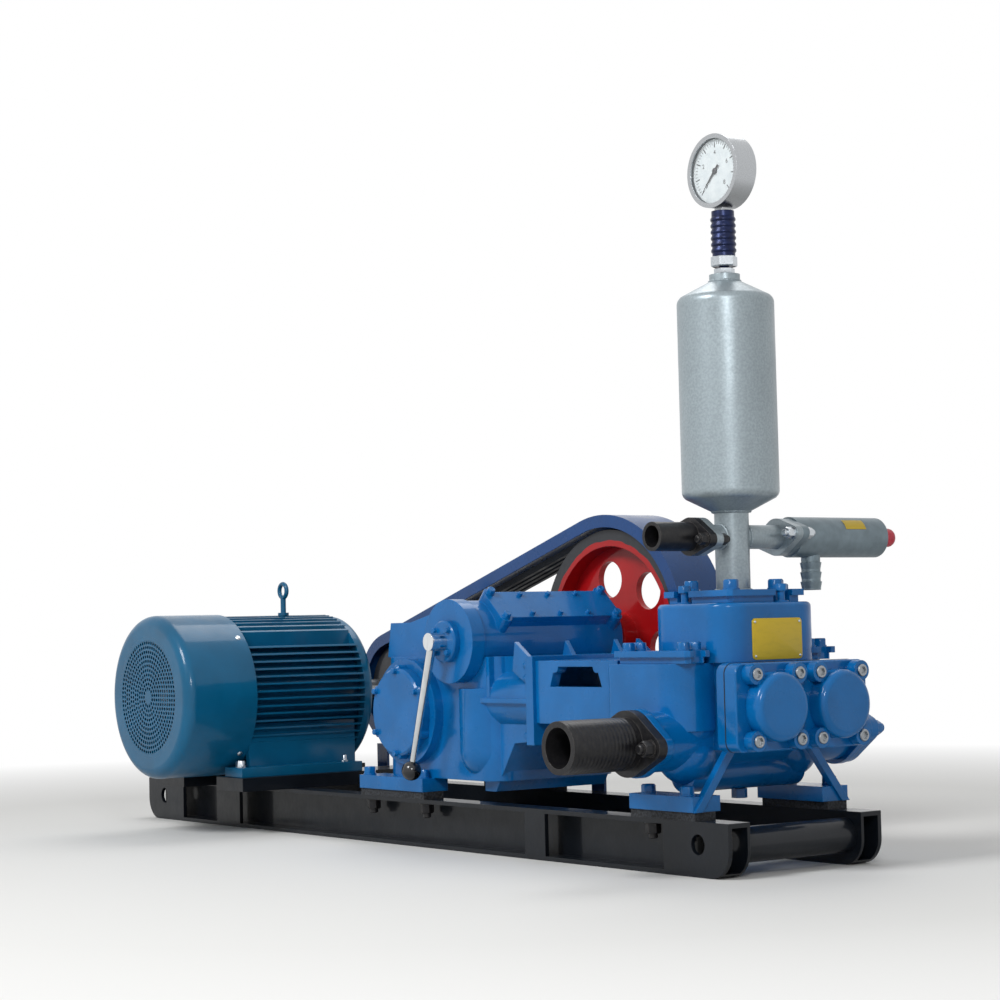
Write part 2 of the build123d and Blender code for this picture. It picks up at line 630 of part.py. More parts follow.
# ---- power end ----------------------------------------------------------------------------
with BuildPart() as crankcase:
    with BuildSketch(Plane.XY.offset(foot_top_z)):
        with Locations(((CASE_REAR_X + CASE_FRONT_X) / 2, 0)):
            RectangleRounded(CASE_FRONT_X - CASE_REAR_X, 2 * CASE_HALF_WIDTH, CASE_CORNER)
    extrude(amount=DECK_Z - foot_top_z)
    # rear block of the gear housing, with a sloping top
    with BuildSketch(across(-CASE_HALF_WIDTH + 8)):
        with BuildLine():
            Polyline(
                (CASE_REAR_X + 8, DECK_Z),
                (CASE_REAR_X + 20, REAR_BLOCK_TOP_Z),
                (CASE_REAR_X + 90, REAR_BLOCK_TOP_Z),
                (REAR_BLOCK_FRONT_X, REAR_BLOCK_TOP_Z + 22),
                (REAR_BLOCK_FRONT_X + 20, DECK_Z),
                close=True,
            )
        make_face()
    extrude(amount=-2 * (CASE_HALF_WIDTH - 8))
    # crosshead guides, their rib and the flange that the guide frame bolts to
    with BuildSketch(Plane.YZ.offset(BELLY_X)):
        with GridLocations(GUIDE_PITCH, 0, 3, 1):
            with Locations((0, GUIDE_Z)):
                Circle(GUIDE_RADIUS)
        with Locations((0, GUIDE_Z)):
            Rectangle(2 * CASE_FLANGE_HALF_WIDTH, GUIDE_RIB)
        with Locations((0, (GUIDE_Z + DECK_Z) / 2)):
            Rectangle(2 * (CASE_HALF_WIDTH - 30), DECK_Z - GUIDE_Z)
    extrude(amount=CASE_FLANGE_X - BELLY_X)
    with BuildSketch(Plane.YZ.offset(CASE_FLANGE_X)):
        with Locations((0, (CASE_FLANGE_BOTTOM_Z + DECK_Z) / 2)):
            Rectangle(2 * CASE_FLANGE_HALF_WIDTH, DECK_Z - CASE_FLANGE_BOTTOM_Z)
    extrude(amount=CASE_FLANGE_THICKNESS)
    # web under the guides, with its sloping front edge
    with BuildSketch(across(-CASE_HALF_WIDTH + 20)):
        with BuildLine():
            Polyline(
                (CASE_FRONT_X - 60, foot_top_z - 20),
                (CASE_FRONT_X - 26, foot_top_z - 20),
                (CASE_FRONT_X + 36, CASE_FLANGE_BOTTOM_Z),
                (CASE_FLANGE_X, CASE_FLANGE_BOTTOM_Z + 6),
                (CASE_FLANGE_X, CASE_FLANGE_BOTTOM_Z + 40),
                (CASE_FRONT_X - 60, CASE_FLANGE_BOTTOM_Z + 40),
                close=True,
            )
        make_face()
    extrude(amount=-2 * (CASE_HALF_WIDTH - 20))
    for side in (-1, 1):
        # bearing ring of the crankshaft
        ring_y = side * CASE_HALF_WIDTH
        y_low, y_high = sorted((ring_y - side * 20, ring_y + side * CRANK_RING_DEPTH))
        add_disc(CRANK_RING_RADIUS, (CRANK_X, CRANK_Z), y_low, y_high)
        # belly round the end of the connecting-rod space
        with BuildSketch(Plane.XY.offset(BELLY_BOTTOM_Z + BELLY_RADIUS)):
            with Locations((BELLY_X, side * BELLY_Y)):
                Circle(BELLY_RADIUS)
        extrude(amount=BELLY_TOP_Z - BELLY_BOTTOM_Z - BELLY_RADIUS)
        with Locations((BELLY_X, side * BELLY_Y, BELLY_BOTTOM_Z + BELLY_RADIUS)):
            Sphere(BELLY_RADIUS)
        # foot along the rail
        with BuildSketch(Plane.XY.offset(foot_bottom_z)):
            foot_mid_y = side * (foot_inner_y + foot_outer_y) / 2
            with Locations(((REAR_FOOT_X[0] + REAR_FOOT_X[1]) / 2, foot_mid_y)):
                Rectangle(REAR_FOOT_X[1] - REAR_FOOT_X[0], foot_outer_y - foot_inner_y)
        extrude(amount=FOOT_THICKNESS)
    # ribs beside the guides, and the pointed fins that brace the flange and the deck
    for side in (-1, 1):
        with BuildSketch(Plane.YZ.offset(SIDE_RIB_X - GUIDE_RIB / 2)):
            with Locations((side * (CASE_HALF_WIDTH - SIDE_RIB_WIDTH / 2), (GUIDE_Z + DECK_Z) / 2)):
                Rectangle(SIDE_RIB_WIDTH, DECK_Z - GUIDE_Z)
        extrude(amount=GUIDE_RIB)
        with BuildSketch(across(side * (CASE_HALF_WIDTH - GUIDE_RIB / 2) - GUIDE_RIB / 2)):
            with BuildLine():
                Polyline(
                    (CASE_FLANGE_X, DECK_Z),
                    (CASE_FLANGE_X - DECK_FIN_LENGTH, DECK_Z + DECK_FIN_HEIGHT),
                    (CASE_FLANGE_X - DECK_FIN_LENGTH - GUIDE_RIB, DECK_Z - DECK_FIN_HEIGHT),
                    (CASE_FLANGE_X, DECK_Z - 2 * DECK_FIN_HEIGHT),
                    close=True,
                )
            make_face()
        extrude(amount=-GUIDE_RIB)
        with BuildSketch(across(side * DECK_FIN_Y - GUIDE_RIB / 2)):
            with BuildLine():
                Polyline(
                    (CASE_FLANGE_X - GUIDE_RIB, DECK_Z),
                    (CASE_FLANGE_X, DECK_Z + DECK_FIN_HEIGHT),
                    (CASE_FLANGE_X + CASE_FLANGE_THICKNESS, DECK_Z),
                    close=True,
                )
            make_face()
        extrude(amount=-GUIDE_RIB)
    cut_bore(INPUT_SHAFT_RADIUS + FIT, pump_axis, 0, CASE_HALF_WIDTH)
save(crankcase, "crankcase")

for side, name in ((-1, "crank_cover_near"), (1, "crank_cover_far")):
    with BuildPart() as crank_cover:
        cover_y = side * (CASE_HALF_WIDTH + CRANK_RING_DEPTH)
        with BuildSketch(across(cover_y)):
            with Locations((CRANK_X, CRANK_Z)):
                Circle(CRANK_COVER_RADIUS)
                with PolarLocations(CRANK_COVER_RADIUS - 2, 6, start_angle=30):
                    Circle(9)
        extrude(amount=-side * CRANK_COVER_THICKNESS)
        outer_face = crank_cover.faces().sort_by(Axis.Y)[0 if side < 0 else -1]
        chamfer(outer_face.edges(), 4)
    save(crank_cover, name)

gear_near_y = -CASE_HALF_WIDTH
with BuildPart() as gear_case:
    add_disc(GEAR_RADIUS, pump_axis, gear_near_y, GEAR_FAR_Y)
    cover_plane = Plane(
        origin=(INPUT_X, 0, INPUT_Z),
        x_dir=(0, 1, 0),
        z_dir=(sin(radians(GEAR_COVER_ANGLE)), 0, cos(radians(GEAR_COVER_ANGLE))),
    )
    with BuildSketch(cover_plane) as cover_pad:
        with Locations((sum(GEAR_COVER_SPAN) / 2, 0)):
            Rectangle(GEAR_COVER_SPAN[1] - GEAR_COVER_SPAN[0], GEAR_COVER_WIDTH)
            pad_span = GEAR_COVER_SPAN[1] - GEAR_COVER_SPAN[0] - 2 * GEAR_COVER_LUG
            with GridLocations(pad_span, GEAR_COVER_WIDTH - 6, 2, 2):
                Circle(GEAR_COVER_LUG)
    extrude(amount=GEAR_RADIUS + GEAR_PAD_RISE)
    # the housing sits on the crankcase deck and meets its rear block
    with BuildSketch(Plane.XZ):
        with Locations((INPUT_X, DECK_Z - 100)):
            Rectangle(400, 200)
        with BuildLine():
            Polyline(
                (CASE_REAR_X, DECK_Z),
                (CASE_REAR_X, REAR_BLOCK_TOP_Z + 60),
                (CASE_REAR_X + 90, REAR_BLOCK_TOP_Z),
                (REAR_BLOCK_FRONT_X, REAR_BLOCK_TOP_Z + 22),
                (REAR_BLOCK_FRONT_X + 20, DECK_Z),
                close=True,
            )
        make_face()
    extrude(amount=400, both=True, mode=Mode.SUBTRACT)
    add_disc(DRUM_RADIUS, pump_axis, gear_near_y - DRUM_DEPTH, gear_near_y)
    cut_bore(LEVER_PIN_RADIUS + FIT, pump_axis, gear_near_y - DRUM_DEPTH, gear_near_y - 6)
    cut_bore(INPUT_SHAFT_RADIUS + FIT, pump_axis, GEAR_FAR_Y - INPUT_SHAFT_DEPTH - 2, GEAR_FAR_Y)
save(gear_case, "gear_case")

with BuildPart() as gear_case_cover:
    with BuildSketch(cover_plane.offset(GEAR_RADIUS + GEAR_PAD_RISE)):
        with Locations((sum(GEAR_COVER_SPAN) / 2, 0)):
            RectangleRounded(GEAR_COVER_SPAN[1] - GEAR_COVER_SPAN[0], GEAR_COVER_WIDTH, 9)
            lug_span = GEAR_COVER_SPAN[1] - GEAR_COVER_SPAN[0] - 2 * GEAR_COVER_LUG
            with GridLocations(lug_span, GEAR_COVER_WIDTH - 6, 2, 2):
                Circle(GEAR_COVER_LUG)
    extrude(amount=GEAR_COVER_THICKNESS)
save(gear_case_cover, "gear_case_cover")

boss_near_y = gear_near_y - DRUM_DEPTH - LEVER_BOSS_THICKNESS
with BuildPart() as lever_boss:
    add_disc(LEVER_BOSS_RADIUS, pump_axis, boss_near_y, gear_near_y - DRUM_DEPTH)
    chamfer(lever_boss.faces().sort_by(Axis.Y)[0].edges(), 3)
    cut_bore(LEVER_PIN_RADIUS + FIT, pump_axis, boss_near_y, gear_near_y - DRUM_DEPTH)
save(lever_boss, "lever_boss")

hub_far_y = boss_near_y - SEAT
hub_near_y = hub_far_y - LEVER_HUB_THICKNESS
arm_y = hub_near_y + LEVER_ARM_INSET
lean = radians(LEVER_LEAN)
arm_dir = Vector(-sin(lean), 0, -cos(lean))
arm_root = Vector(INPUT_X, arm_y, INPUT_Z) + arm_dir * (LEVER_HUB_RADIUS - 3)
knob_centre = Vector(INPUT_X, arm_y, INPUT_Z) + arm_dir * LEVER_LENGTH
arm_length = LEVER_LENGTH - LEVER_HUB_RADIUS + 3 - KNOB_RADIUS
with BuildPart() as shift_lever:
    add_disc(LEVER_PIN_RADIUS, pump_axis, hub_near_y, gear_near_y - DRUM_DEPTH + 12)
    add_disc(LEVER_HUB_RADIUS, pump_axis, hub_near_y, hub_far_y)
    with BuildSketch(Plane(arm_root, x_dir=(0, 1, 0), z_dir=arm_dir)):
        Circle(LEVER_ROOT_RADIUS)
    with BuildSketch(Plane(arm_root + arm_dir * arm_length, x_dir=(0, 1, 0), z_dir=arm_dir)):
        Circle(LEVER_TIP_RADIUS)
    loft()
save(shift_lever, "shift_lever")

with BuildPart() as shift_knob:
    with Locations(knob_centre):
        Sphere(KNOB_RADIUS)
    with BuildSketch(Plane(arm_root + arm_dir * arm_length, x_dir=(0, 1, 0), z_dir=-arm_dir)):
        Circle(2 * LEVER_TIP_RADIUS)
    extrude(amount=KNOB_RADIUS, mode=Mode.SUBTRACT)
save(shift_knob, "shift_knob")

# ---- guide frame and piston rods ----------------------------------------------------------
frame_start_x = CASE_FLANGE_X + CASE_FLANGE_THICKNESS
with BuildPart() as guide_frame:
    with BuildSketch(Plane.YZ.offset(frame_start_x)):
        with Locations((0, (FRAME_TOP_Z + FRAME_BOTTOM_Z) / 2)):
            Rectangle(2 * CASE_HALF_WIDTH, FRAME_TOP_Z - FRAME_BOTTOM_Z)
        frame_inside = (FRAME_TOP_Z - FRAME_DECK, FRAME_BOTTOM_Z + FRAME_DECK)
        with Locations((0, sum(frame_inside) / 2)):
            inner_height = frame_inside[0] - frame_inside[1]
            Rectangle(2 * (CASE_HALF_WIDTH - FRAME_WALL), inner_height, mode=Mode.SUBTRACT)
    extrude(amount=FRAME_END_X - frame_start_x)
    with BuildSketch(Plane.XZ):
        with BuildLine():
            Polyline(
                (WINDOW_X[0], WINDOW_Z[0]),
                (WINDOW_X[1], WINDOW_Z[0]),
                (WINDOW_X[1] - WINDOW_SLANT, WINDOW_Z[1]),
                (WINDOW_X[0] + WINDOW_SLANT, WINDOW_Z[1]),
                close=True,
            )
        make_face()
        window_bosses = [(WINDOW_X[0] + WINDOW_SLANT, WINDOW_Z[1]), (WINDOW_X[1] - WINDOW_SLANT, WINDOW_Z[1])]
        with Locations(*window_bosses):
            Circle(WINDOW_BOSS, mode=Mode.SUBTRACT)
    extrude(amount=CASE_HALF_WIDTH + 1, both=True, mode=Mode.SUBTRACT)
save(guide_frame, "guide_frame")

rod_start_x = frame_start_x
with BuildPart() as piston_rods:
    with BuildSketch(Plane.YZ.offset(rod_start_x)):
        with Locations((0, GUIDE_Z)):
            with GridLocations(GUIDE_PITCH, 0, 3, 1):
                Circle(ROD_RADIUS)
    extrude(amount=FRAME_END_X - rod_start_x)
    with BuildSketch(Plane.YZ.offset(FRAME_END_X - GLAND_LENGTH)):
        with Locations((0, GUIDE_Z)):
            with GridLocations(GUIDE_PITCH, 0, 3, 1):
                Circle(GLAND_RADIUS)
                Circle(ROD_RADIUS, mode=Mode.SUBTRACT)
    extrude(amount=GLAND_LENGTH)
save(piston_rods, "piston_rods")

# ---- fluid end ----------------------------------------------------------------------------
suction_axis = (FLUID_X, SUCTION_Z)


def ear_flange(span, ear_radius, body_radius, tilt, at, y_start, y_end):
    """An oval two-bolt flange along Y: a round body that tapers to an ear at each end."""
    with BuildSketch(across(y_start)) as oval:
        with Locations(Location((*at, 0), (0, 0, tilt))):
            with Locations((-span / 2, 0), (span / 2, 0)):
                Circle(ear_radius)
            Circle(body_radius)
            make_hull()
    extrude(oval.sketch, amount=y_start - y_end)


with BuildPart() as fluid_end_block:
    with BuildSketch(Plane.XY.offset(BLOCK_BOTTOM_Z)):
        with Locations(((FRAME_END_X + BLOCK_FRONT_X) / 2, 0)):
            Rectangle(BLOCK_FRONT_X - FRAME_END_X, 2 * BLOCK_HALF_WIDTH)
    extrude(amount=BLOCK_TOP_Z - BLOCK_BOTTOM_Z)
    for side in (-1, 1):
        pot_y = side * (POT_FACE_Y - POT_RADIUS)
        with BuildSketch(Plane.XY.offset(POT_BOTTOM_Z)):
            with Locations((FLUID_X, pot_y)):
                Circle(POT_RADIUS)
            with Locations(((POT_REAR_X + FLUID_X + POT_EDGE) / 2, pot_y)):
                RectangleRounded(FLUID_X + POT_EDGE - POT_REAR_X, 2 * POT_RADIUS, POT_EDGE)
        extrude(amount=BLOCK_TOP_Z - POT_BOTTOM_Z)
        with Locations((FLUID_X, pot_y, POT_BOTTOM_Z + 20)):
            Sphere(POT_RADIUS)
        with Locations((FLUID_X, pot_y, BOWL_Z)):
            Sphere(BOWL_RADIUS)
    with BuildSketch(Plane.YZ.offset(BLOCK_FRONT_X)):
        with Locations((0, (BLOCK_TOP_Z + BLOCK_BOTTOM_Z) / 2)):
            RectangleRounded(2 * FRONT_HALF_WIDTH, BLOCK_TOP_Z - BLOCK_BOTTOM_Z, FRONT_CORNER)
    extrude(amount=FRONT_FLANGE_X - BLOCK_FRONT_X)
    add_disc(CHEST_RADIUS, (FLUID_X, CHEST_Z), -POT_FACE_Y + 50, POT_FACE_Y - 50)
    add_disc(SUCTION_RADIUS + 6, suction_axis, -SUCTION_BOSS_Y, BLIND_BOSS_Y)
    ear_flange(SUCTION_BOLT_SPAN, SUCTION_EAR_RADIUS, SUCTION_RADIUS + 14, -SUCTION_FLANGE_TILT,
               suction_axis, -SUCTION_BOSS_Y, -SUCTION_BOSS_Y + 14)
    ear_flange(SUCTION_BOLT_SPAN, SUCTION_EAR_RADIUS, SUCTION_RADIUS + 14, SUCTION_FLANGE_TILT,
               suction_axis, BLIND_BOSS_Y - 14, BLIND_BOSS_Y)
save(fluid_end_block, "fluid_end_block")

with BuildPart() as suction_nipple:
    flange_near_y = -SUCTION_BOSS_Y - SUCTION_FLANGE_THICKNESS
    ear_flange(SUCTION_BOLT_SPAN, SUCTION_EAR_RADIUS, SUCTION_RADIUS + 12, -SUCTION_FLANGE_TILT,
               suction_axis, flange_near_y, -SUCTION_BOSS_Y)
    add_disc(SUCTION_RADIUS, suction_axis, SUCTION_END_Y, flange_near_y)
    cut_bore(SUCTION_BORE, suction_axis, SUCTION_END_Y, -SUCTION_BOSS_Y)
save(suction_nipple, "suction_nipple")

with BuildPart() as suction_blind_flange:
    ear_flange(SUCTION_BOLT_SPAN, SUCTION_EAR_RADIUS, SUCTION_RADIUS + 12, SUCTION_FLANGE_TILT,
               suction_axis, BLIND_BOSS_Y, BLIND_BOSS_Y + BLIND_THICKNESS)
save(suction_blind_flange, "suction_blind_flange")

with BuildPart() as front_plate:
    with BuildSketch(Plane.YZ.offset(FRONT_FLANGE_X)):
        with Locations((0, (BLOCK_TOP_Z + BLOCK_BOTTOM_Z) / 2)):
            RectangleRounded(2 * FRONT_HALF_WIDTH, BLOCK_TOP_Z - BLOCK_BOTTOM_Z, FRONT_CORNER)
    extrude(amount=FRONT_PLATE_THICKNESS)
    chamfer(front_plate.faces().sort_by(Axis.X)[-1].edges(), 2)
save(front_plate, "front_plate")

front_face_x = FRONT_FLANGE_X + FRONT_PLATE_THICKNESS
for side, name in ((-1, "dome_cover_near"), (1, "dome_cover_far")):
    with BuildPart() as dome_cover:
        with BuildSketch(Plane.YZ.offset(front_face_x)):
            with Locations((side * DOME_PITCH / 2, DOME_Z)):
                Circle(DOME_RADIUS)
                with GridLocations(DOME_SCREW_Y, DOME_SCREW_Z, 2, 2):
                    Circle(DOME_LUG_RADIUS)
        extrude(amount=DOME_FLANGE)
        with BuildSketch(Plane.YZ.offset(front_face_x)):
            with Locations((side * DOME_PITCH / 2, DOME_Z)):
                Circle(DOME_RADIUS)
        extrude(amount=DOME_DEPTH)
        fillet(dome_cover.edges().filter_by(GeomType.CIRCLE).sort_by(Axis.X)[-1], DOME_EDGE)
    save(dome_cover, name)


def clamp_cover(length, width, at, base_z, notch, notches):
    """A valve cover: a stepped plate with chamfered corners and square notches at its edge."""
    with BuildSketch(Plane.XY.offset(base_z)) as spigot:
        with Locations(at):
            Rectangle(length - 2 * COVER_STEP, width - 2 * COVER_STEP)
        chamfer(spigot.vertices(), COVER_STEP)
        with Locations(at):
            with Locations(*notches):
                Rectangle(2 * notch, 2 * notch, mode=Mode.SUBTRACT)
    extrude(spigot.sketch, amount=COVER_THICKNESS / 2)
    with BuildSketch(Plane.XY.offset(base_z + COVER_THICKNESS / 2)) as plate:
        with Locations(at):
            Rectangle(length, width)
        chamfer(plate.vertices(), COVER_STEP)
        with Locations(at):
            with Locations(*notches):
                Rectangle(2 * notch, 2 * notch, mode=Mode.SUBTRACT)
    extrude(plate.sketch, amount=COVER_THICKNESS / 2)


for side, name in ((-1, "valve_cover_near"), (1, "valve_cover_far")):
    with BuildPart() as valve_cover:
        cover_width = POT_FACE_Y - TOWER_WIDTH / 2 - 2 * VALVE_COVER_CLEARANCE
        cover_at = (FLUID_X - VALVE_COVER_SETBACK, side * (POT_FACE_Y + TOWER_WIDTH / 2) / 2)
        end_notches = [(-VALVE_COVER_LENGTH / 2, 0), (VALVE_COVER_LENGTH / 2, 0)]
        clamp_cover(
            VALVE_COVER_LENGTH, cover_width, cover_at, BLOCK_TOP_Z, VALVE_COVER_NOTCH, end_notches
        )
    save(valve_cover, name)

with BuildPart() as discharge_tower:
    with BuildSketch(Plane.XY.offset(BLOCK_TOP_Z)):
        with Locations((FLUID_X, 0)):
            RectangleRounded(TOWER_LENGTH, TOWER_WIDTH, TOWER_CORNER)
    extrude(amount=TOWER_TOP_Z - BLOCK_TOP_Z)
    fillet(discharge_tower.faces().sort_by(Axis.Z)[-1].edges(), 8)
save(discharge_tower, "discharge_tower")

with BuildPart() as tower_cover:
    half = COVER_SIZE / 2
    tower_notches = [
        (-COVER_NOTCH_OFFSET, -half),
        (half, COVER_NOTCH_OFFSET),
        (COVER_NOTCH_OFFSET, half),
        (-half, -COVER_NOTCH_OFFSET),
    ]
    clamp_cover(COVER_SIZE, COVER_SIZE, (FLUID_X, 0), TOWER_TOP_Z, COVER_NOTCH, tower_notches)
save(tower_cover, "tower_cover")

with BuildPart() as front_feet:
    for side in (-1, 1):
        foot_mid_y = side * (foot_inner_y + foot_outer_y) / 2
        with BuildSketch(Plane.XY.offset(foot_bottom_z)):
            with Locations(((front_foot_x[0] + front_foot_x[1]) / 2, foot_mid_y)):
                Rectangle(front_foot_x[1] - front_foot_x[0], foot_outer_y - foot_inner_y)
        extrude(amount=FOOT_THICKNESS)
        with BuildSketch(Plane.YZ.offset(BLOCK_FRONT_X - 30)):
            with BuildLine():
                Polyline(
                    (side * LEG_TOP_Y, BLOCK_BOTTOM_Z),
                    (side * (LEG_TOP_Y + LEG_WIDTH), BLOCK_BOTTOM_Z),
                    (side * foot_outer_y, foot_bottom_z),
                    (side * (foot_outer_y - LEG_WIDTH), foot_bottom_z),
                    close=True,
                )
            make_face()
        extrude(amount=-LEG_THICKNESS)
save(front_feet, "front_feet")

with BuildPart() as drain_plug:
    with BuildSketch(Plane.XY.offset(CHEST_Z - CHEST_RADIUS - DRAIN_LENGTH + 14)):
        with Locations((FLUID_X, 0)):
            RegularPolygon(DRAIN_RADIUS, 6)
    extrude(amount=DRAIN_LENGTH - 14)
save(drain_plug, "drain_plug")

# ---- discharge line, air chamber and gauge ------------------------------------------------
cover_top_z = TOWER_TOP_Z + COVER_THICKNESS
tee_axis = (FLUID_X, TEE_Z)
with BuildPart() as discharge_tee:
    with BuildSketch(Plane.XY.offset(cover_top_z)):
        with Locations((FLUID_X, 0)):
            Circle(DISCHARGE_RADIUS)
    extrude(amount=CHAMBER_BOTTOM_Z - cover_top_z)
    add_disc(TEE_ARM_RADIUS, tee_axis, -DISCHARGE_FLANGE_Y, RELIEF_FLANGE_Y)
    ear_flange(DISCHARGE_BOLT_SPAN, DISCHARGE_EAR_RADIUS, DISCHARGE_COLLAR, -DISCHARGE_FLANGE_TILT, tee_axis,
               -DISCHARGE_FLANGE_Y - DISCHARGE_FLANGE_THICKNESS, -DISCHARGE_FLANGE_Y)
    ear_flange(DISCHARGE_BOLT_SPAN, DISCHARGE_EAR_RADIUS, DISCHARGE_COLLAR, DISCHARGE_FLANGE_TILT, tee_axis,
               RELIEF_FLANGE_Y - DISCHARGE_FLANGE_THICKNESS, RELIEF_FLANGE_Y)
save(discharge_tee, "discharge_tee")

with BuildPart() as discharge_nipple:
    nipple_flange_y = -DISCHARGE_FLANGE_Y - 2 * DISCHARGE_FLANGE_THICKNESS
    ear_flange(DISCHARGE_BOLT_SPAN, DISCHARGE_EAR_RADIUS, DISCHARGE_COLLAR, -DISCHARGE_FLANGE_TILT, tee_axis,
               nipple_flange_y, nipple_flange_y + DISCHARGE_FLANGE_THICKNESS)
    add_disc(DISCHARGE_NIPPLE_RADIUS, tee_axis, DISCHARGE_END_Y, nipple_flange_y)
    cut_bore(DISCHARGE_BORE, tee_axis, DISCHARGE_END_Y, nipple_flange_y + DISCHARGE_FLANGE_THICKNESS)
save(discharge_nipple, "discharge_nipple")

with BuildPart() as relief_valve:
    ear_flange(DISCHARGE_BOLT_SPAN, DISCHARGE_EAR_RADIUS, DISCHARGE_COLLAR, DISCHARGE_FLANGE_TILT, tee_axis,
               RELIEF_FLANGE_Y, RELIEF_FLANGE_Y + DISCHARGE_FLANGE_THICKNESS)
    add_disc(RELIEF_RADIUS, tee_axis, RELIEF_FLANGE_Y + DISCHARGE_FLANGE_THICKNESS, RELIEF_END_Y)
    chamfer(relief_valve.faces().sort_by(Axis.Y)[-1].edges(), RELIEF_CHAMFER)
    with BuildSketch(Plane.XY.offset(TEE_Z - RELIEF_RADIUS / 2)):
        with Locations((FLUID_X, BARB_Y)):
            Circle(BARB_RADIUS)
    extrude(amount=-(TEE_Z - RELIEF_RADIUS / 2 - BARB_BOTTOM_Z))
    with BuildSketch(Plane.XY.offset(BARB_BOTTOM_Z)):
        with Locations((FLUID_X, BARB_Y)):
            Circle(BARB_BORE)
    extrude(amount=TEE_Z - RELIEF_RADIUS - BARB_BOTTOM_Z, mode=Mode.SUBTRACT)
save(relief_valve, "relief_valve")

with BuildPart() as relief_cap:
    add_disc(CAP_RADIUS, tee_axis, RELIEF_END_Y, RELIEF_END_Y + CAP_LENGTH)
    fillet(relief_cap.faces().sort_by(Axis.Y)[-1].edges(), CAP_RADIUS * 0.7)
save(relief_cap, "relief_cap")

with BuildPart() as air_chamber:
    with BuildSketch(Plane.XZ):
        with BuildLine():
            Polyline(
                (FLUID_X, CHAMBER_BOTTOM_Z),
                (FLUID_X + DISCHARGE_RADIUS + 4, CHAMBER_BOTTOM_Z),
                (FLUID_X + CHAMBER_RADIUS, CHAMBER_BOTTOM_Z + CHAMBER_CONE),
                (FLUID_X + CHAMBER_RADIUS, CHAMBER_TOP_Z),
                (FLUID_X + CHAMBER_BOSS_RADIUS, CHAMBER_TOP_Z + CHAMBER_SHOULDER),
                (FLUID_X + CHAMBER_BOSS_RADIUS, CHAMBER_BOSS_TOP_Z),
                (FLUID_X, CHAMBER_BOSS_TOP_Z),
                close=True,
            )
        make_face()
    revolve(axis=Axis((FLUID_X, 0, 0), (0, 0, 1)))
    rims = air_chamber.edges().filter_by(GeomType.CIRCLE).sort_by(SortBy.RADIUS)[-2:]
    fillet(rims, CHAMBER_EDGE)
save(air_chamber, "air_chamber")

with BuildPart() as gauge_damper:
    with BuildSketch(Plane.XY.offset(CHAMBER_BOSS_TOP_Z)):
        with Locations((FLUID_X, 0)):
            Circle(STEM_RADIUS)
    extrude(amount=DAMPER_BOTTOM_Z - CHAMBER_BOSS_TOP_Z)
    with BuildSketch(Plane.XY.offset(DAMPER_BOTTOM_Z)):
        with Locations((FLUID_X, 0)):
            Circle(DAMPER_RADIUS)
    extrude(amount=DAMPER_TOP_Z - DAMPER_BOTTOM_Z)
save(gauge_damper, "gauge_damper")

with BuildPart() as pressure_gauge:
    gauge_axis = (FLUID_X, GAUGE_Z)
    add_disc(GAUGE_RADIUS, gauge_axis, -GAUGE_DEPTH / 2, GAUGE_DEPTH / 2)
    cut_bore(GAUGE_RADIUS - GAUGE_BEZEL, gauge_axis, -GAUGE_DEPTH / 2, -GAUGE_DEPTH / 2 + 10)
    with BuildSketch(Plane.XY.offset(DAMPER_TOP_Z)):
        with Locations((FLUID_X, 0)):
            Rectangle(20, 20)
    extrude(amount=GAUGE_Z - GAUGE_RADIUS + 6 - DAMPER_TOP_Z)
save(pressure_gauge, "pressure_gauge")
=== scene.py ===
import math

import bmesh
import bpy
from bpy.props import FloatProperty, FloatVectorProperty, IntProperty, PointerProperty
from mathutils import Matrix, Vector


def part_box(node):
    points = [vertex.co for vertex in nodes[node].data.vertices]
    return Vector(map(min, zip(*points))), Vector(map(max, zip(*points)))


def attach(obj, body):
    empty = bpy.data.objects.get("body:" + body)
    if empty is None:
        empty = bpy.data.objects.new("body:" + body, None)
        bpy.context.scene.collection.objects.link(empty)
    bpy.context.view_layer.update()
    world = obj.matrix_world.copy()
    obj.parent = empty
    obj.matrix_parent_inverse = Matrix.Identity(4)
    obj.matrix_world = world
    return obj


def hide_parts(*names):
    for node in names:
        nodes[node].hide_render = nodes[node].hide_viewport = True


bl_info = {
    "name": "Triplex mud pump dressing",
    "version": (1, 0, 0),
    "blender": (4, 5, 0),
    "location": "3D View > Sidebar > Mud Pump",
    "description": "Finishes, fasteners, gauge dial and stage for a skid-mounted triplex mud pump",
    "category": "Object",
}

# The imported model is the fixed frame. X runs to the fluid end, Y to the belts, Z up, in metres.
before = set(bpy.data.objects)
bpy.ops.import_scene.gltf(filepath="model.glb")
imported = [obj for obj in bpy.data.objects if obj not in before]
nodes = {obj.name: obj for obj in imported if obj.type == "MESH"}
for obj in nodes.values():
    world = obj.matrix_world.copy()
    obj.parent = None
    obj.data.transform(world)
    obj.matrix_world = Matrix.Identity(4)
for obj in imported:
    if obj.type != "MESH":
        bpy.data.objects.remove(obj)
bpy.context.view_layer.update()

MM = 0.001
TAU = 2 * math.pi
LEFT, NEAR, DOWN = Vector((-1, 0, 0)), Vector((0, -1, 0)), Vector((0, 0, -1))
RIGHT, FAR, UP = -LEFT, -NEAR, -DOWN


def linear(hex_colour):
    """Turns an sRGB hex colour into Blender's linear red, green, blue and alpha."""
    channels = []
    for start in (1, 3, 5):
        value = int(hex_colour[start:start + 2], 16) / 255
        channels.append(value / 12.92 if value <= 0.04045 else ((value + 0.055) / 1.055) ** 2.4)
    return (*channels, 1.0)


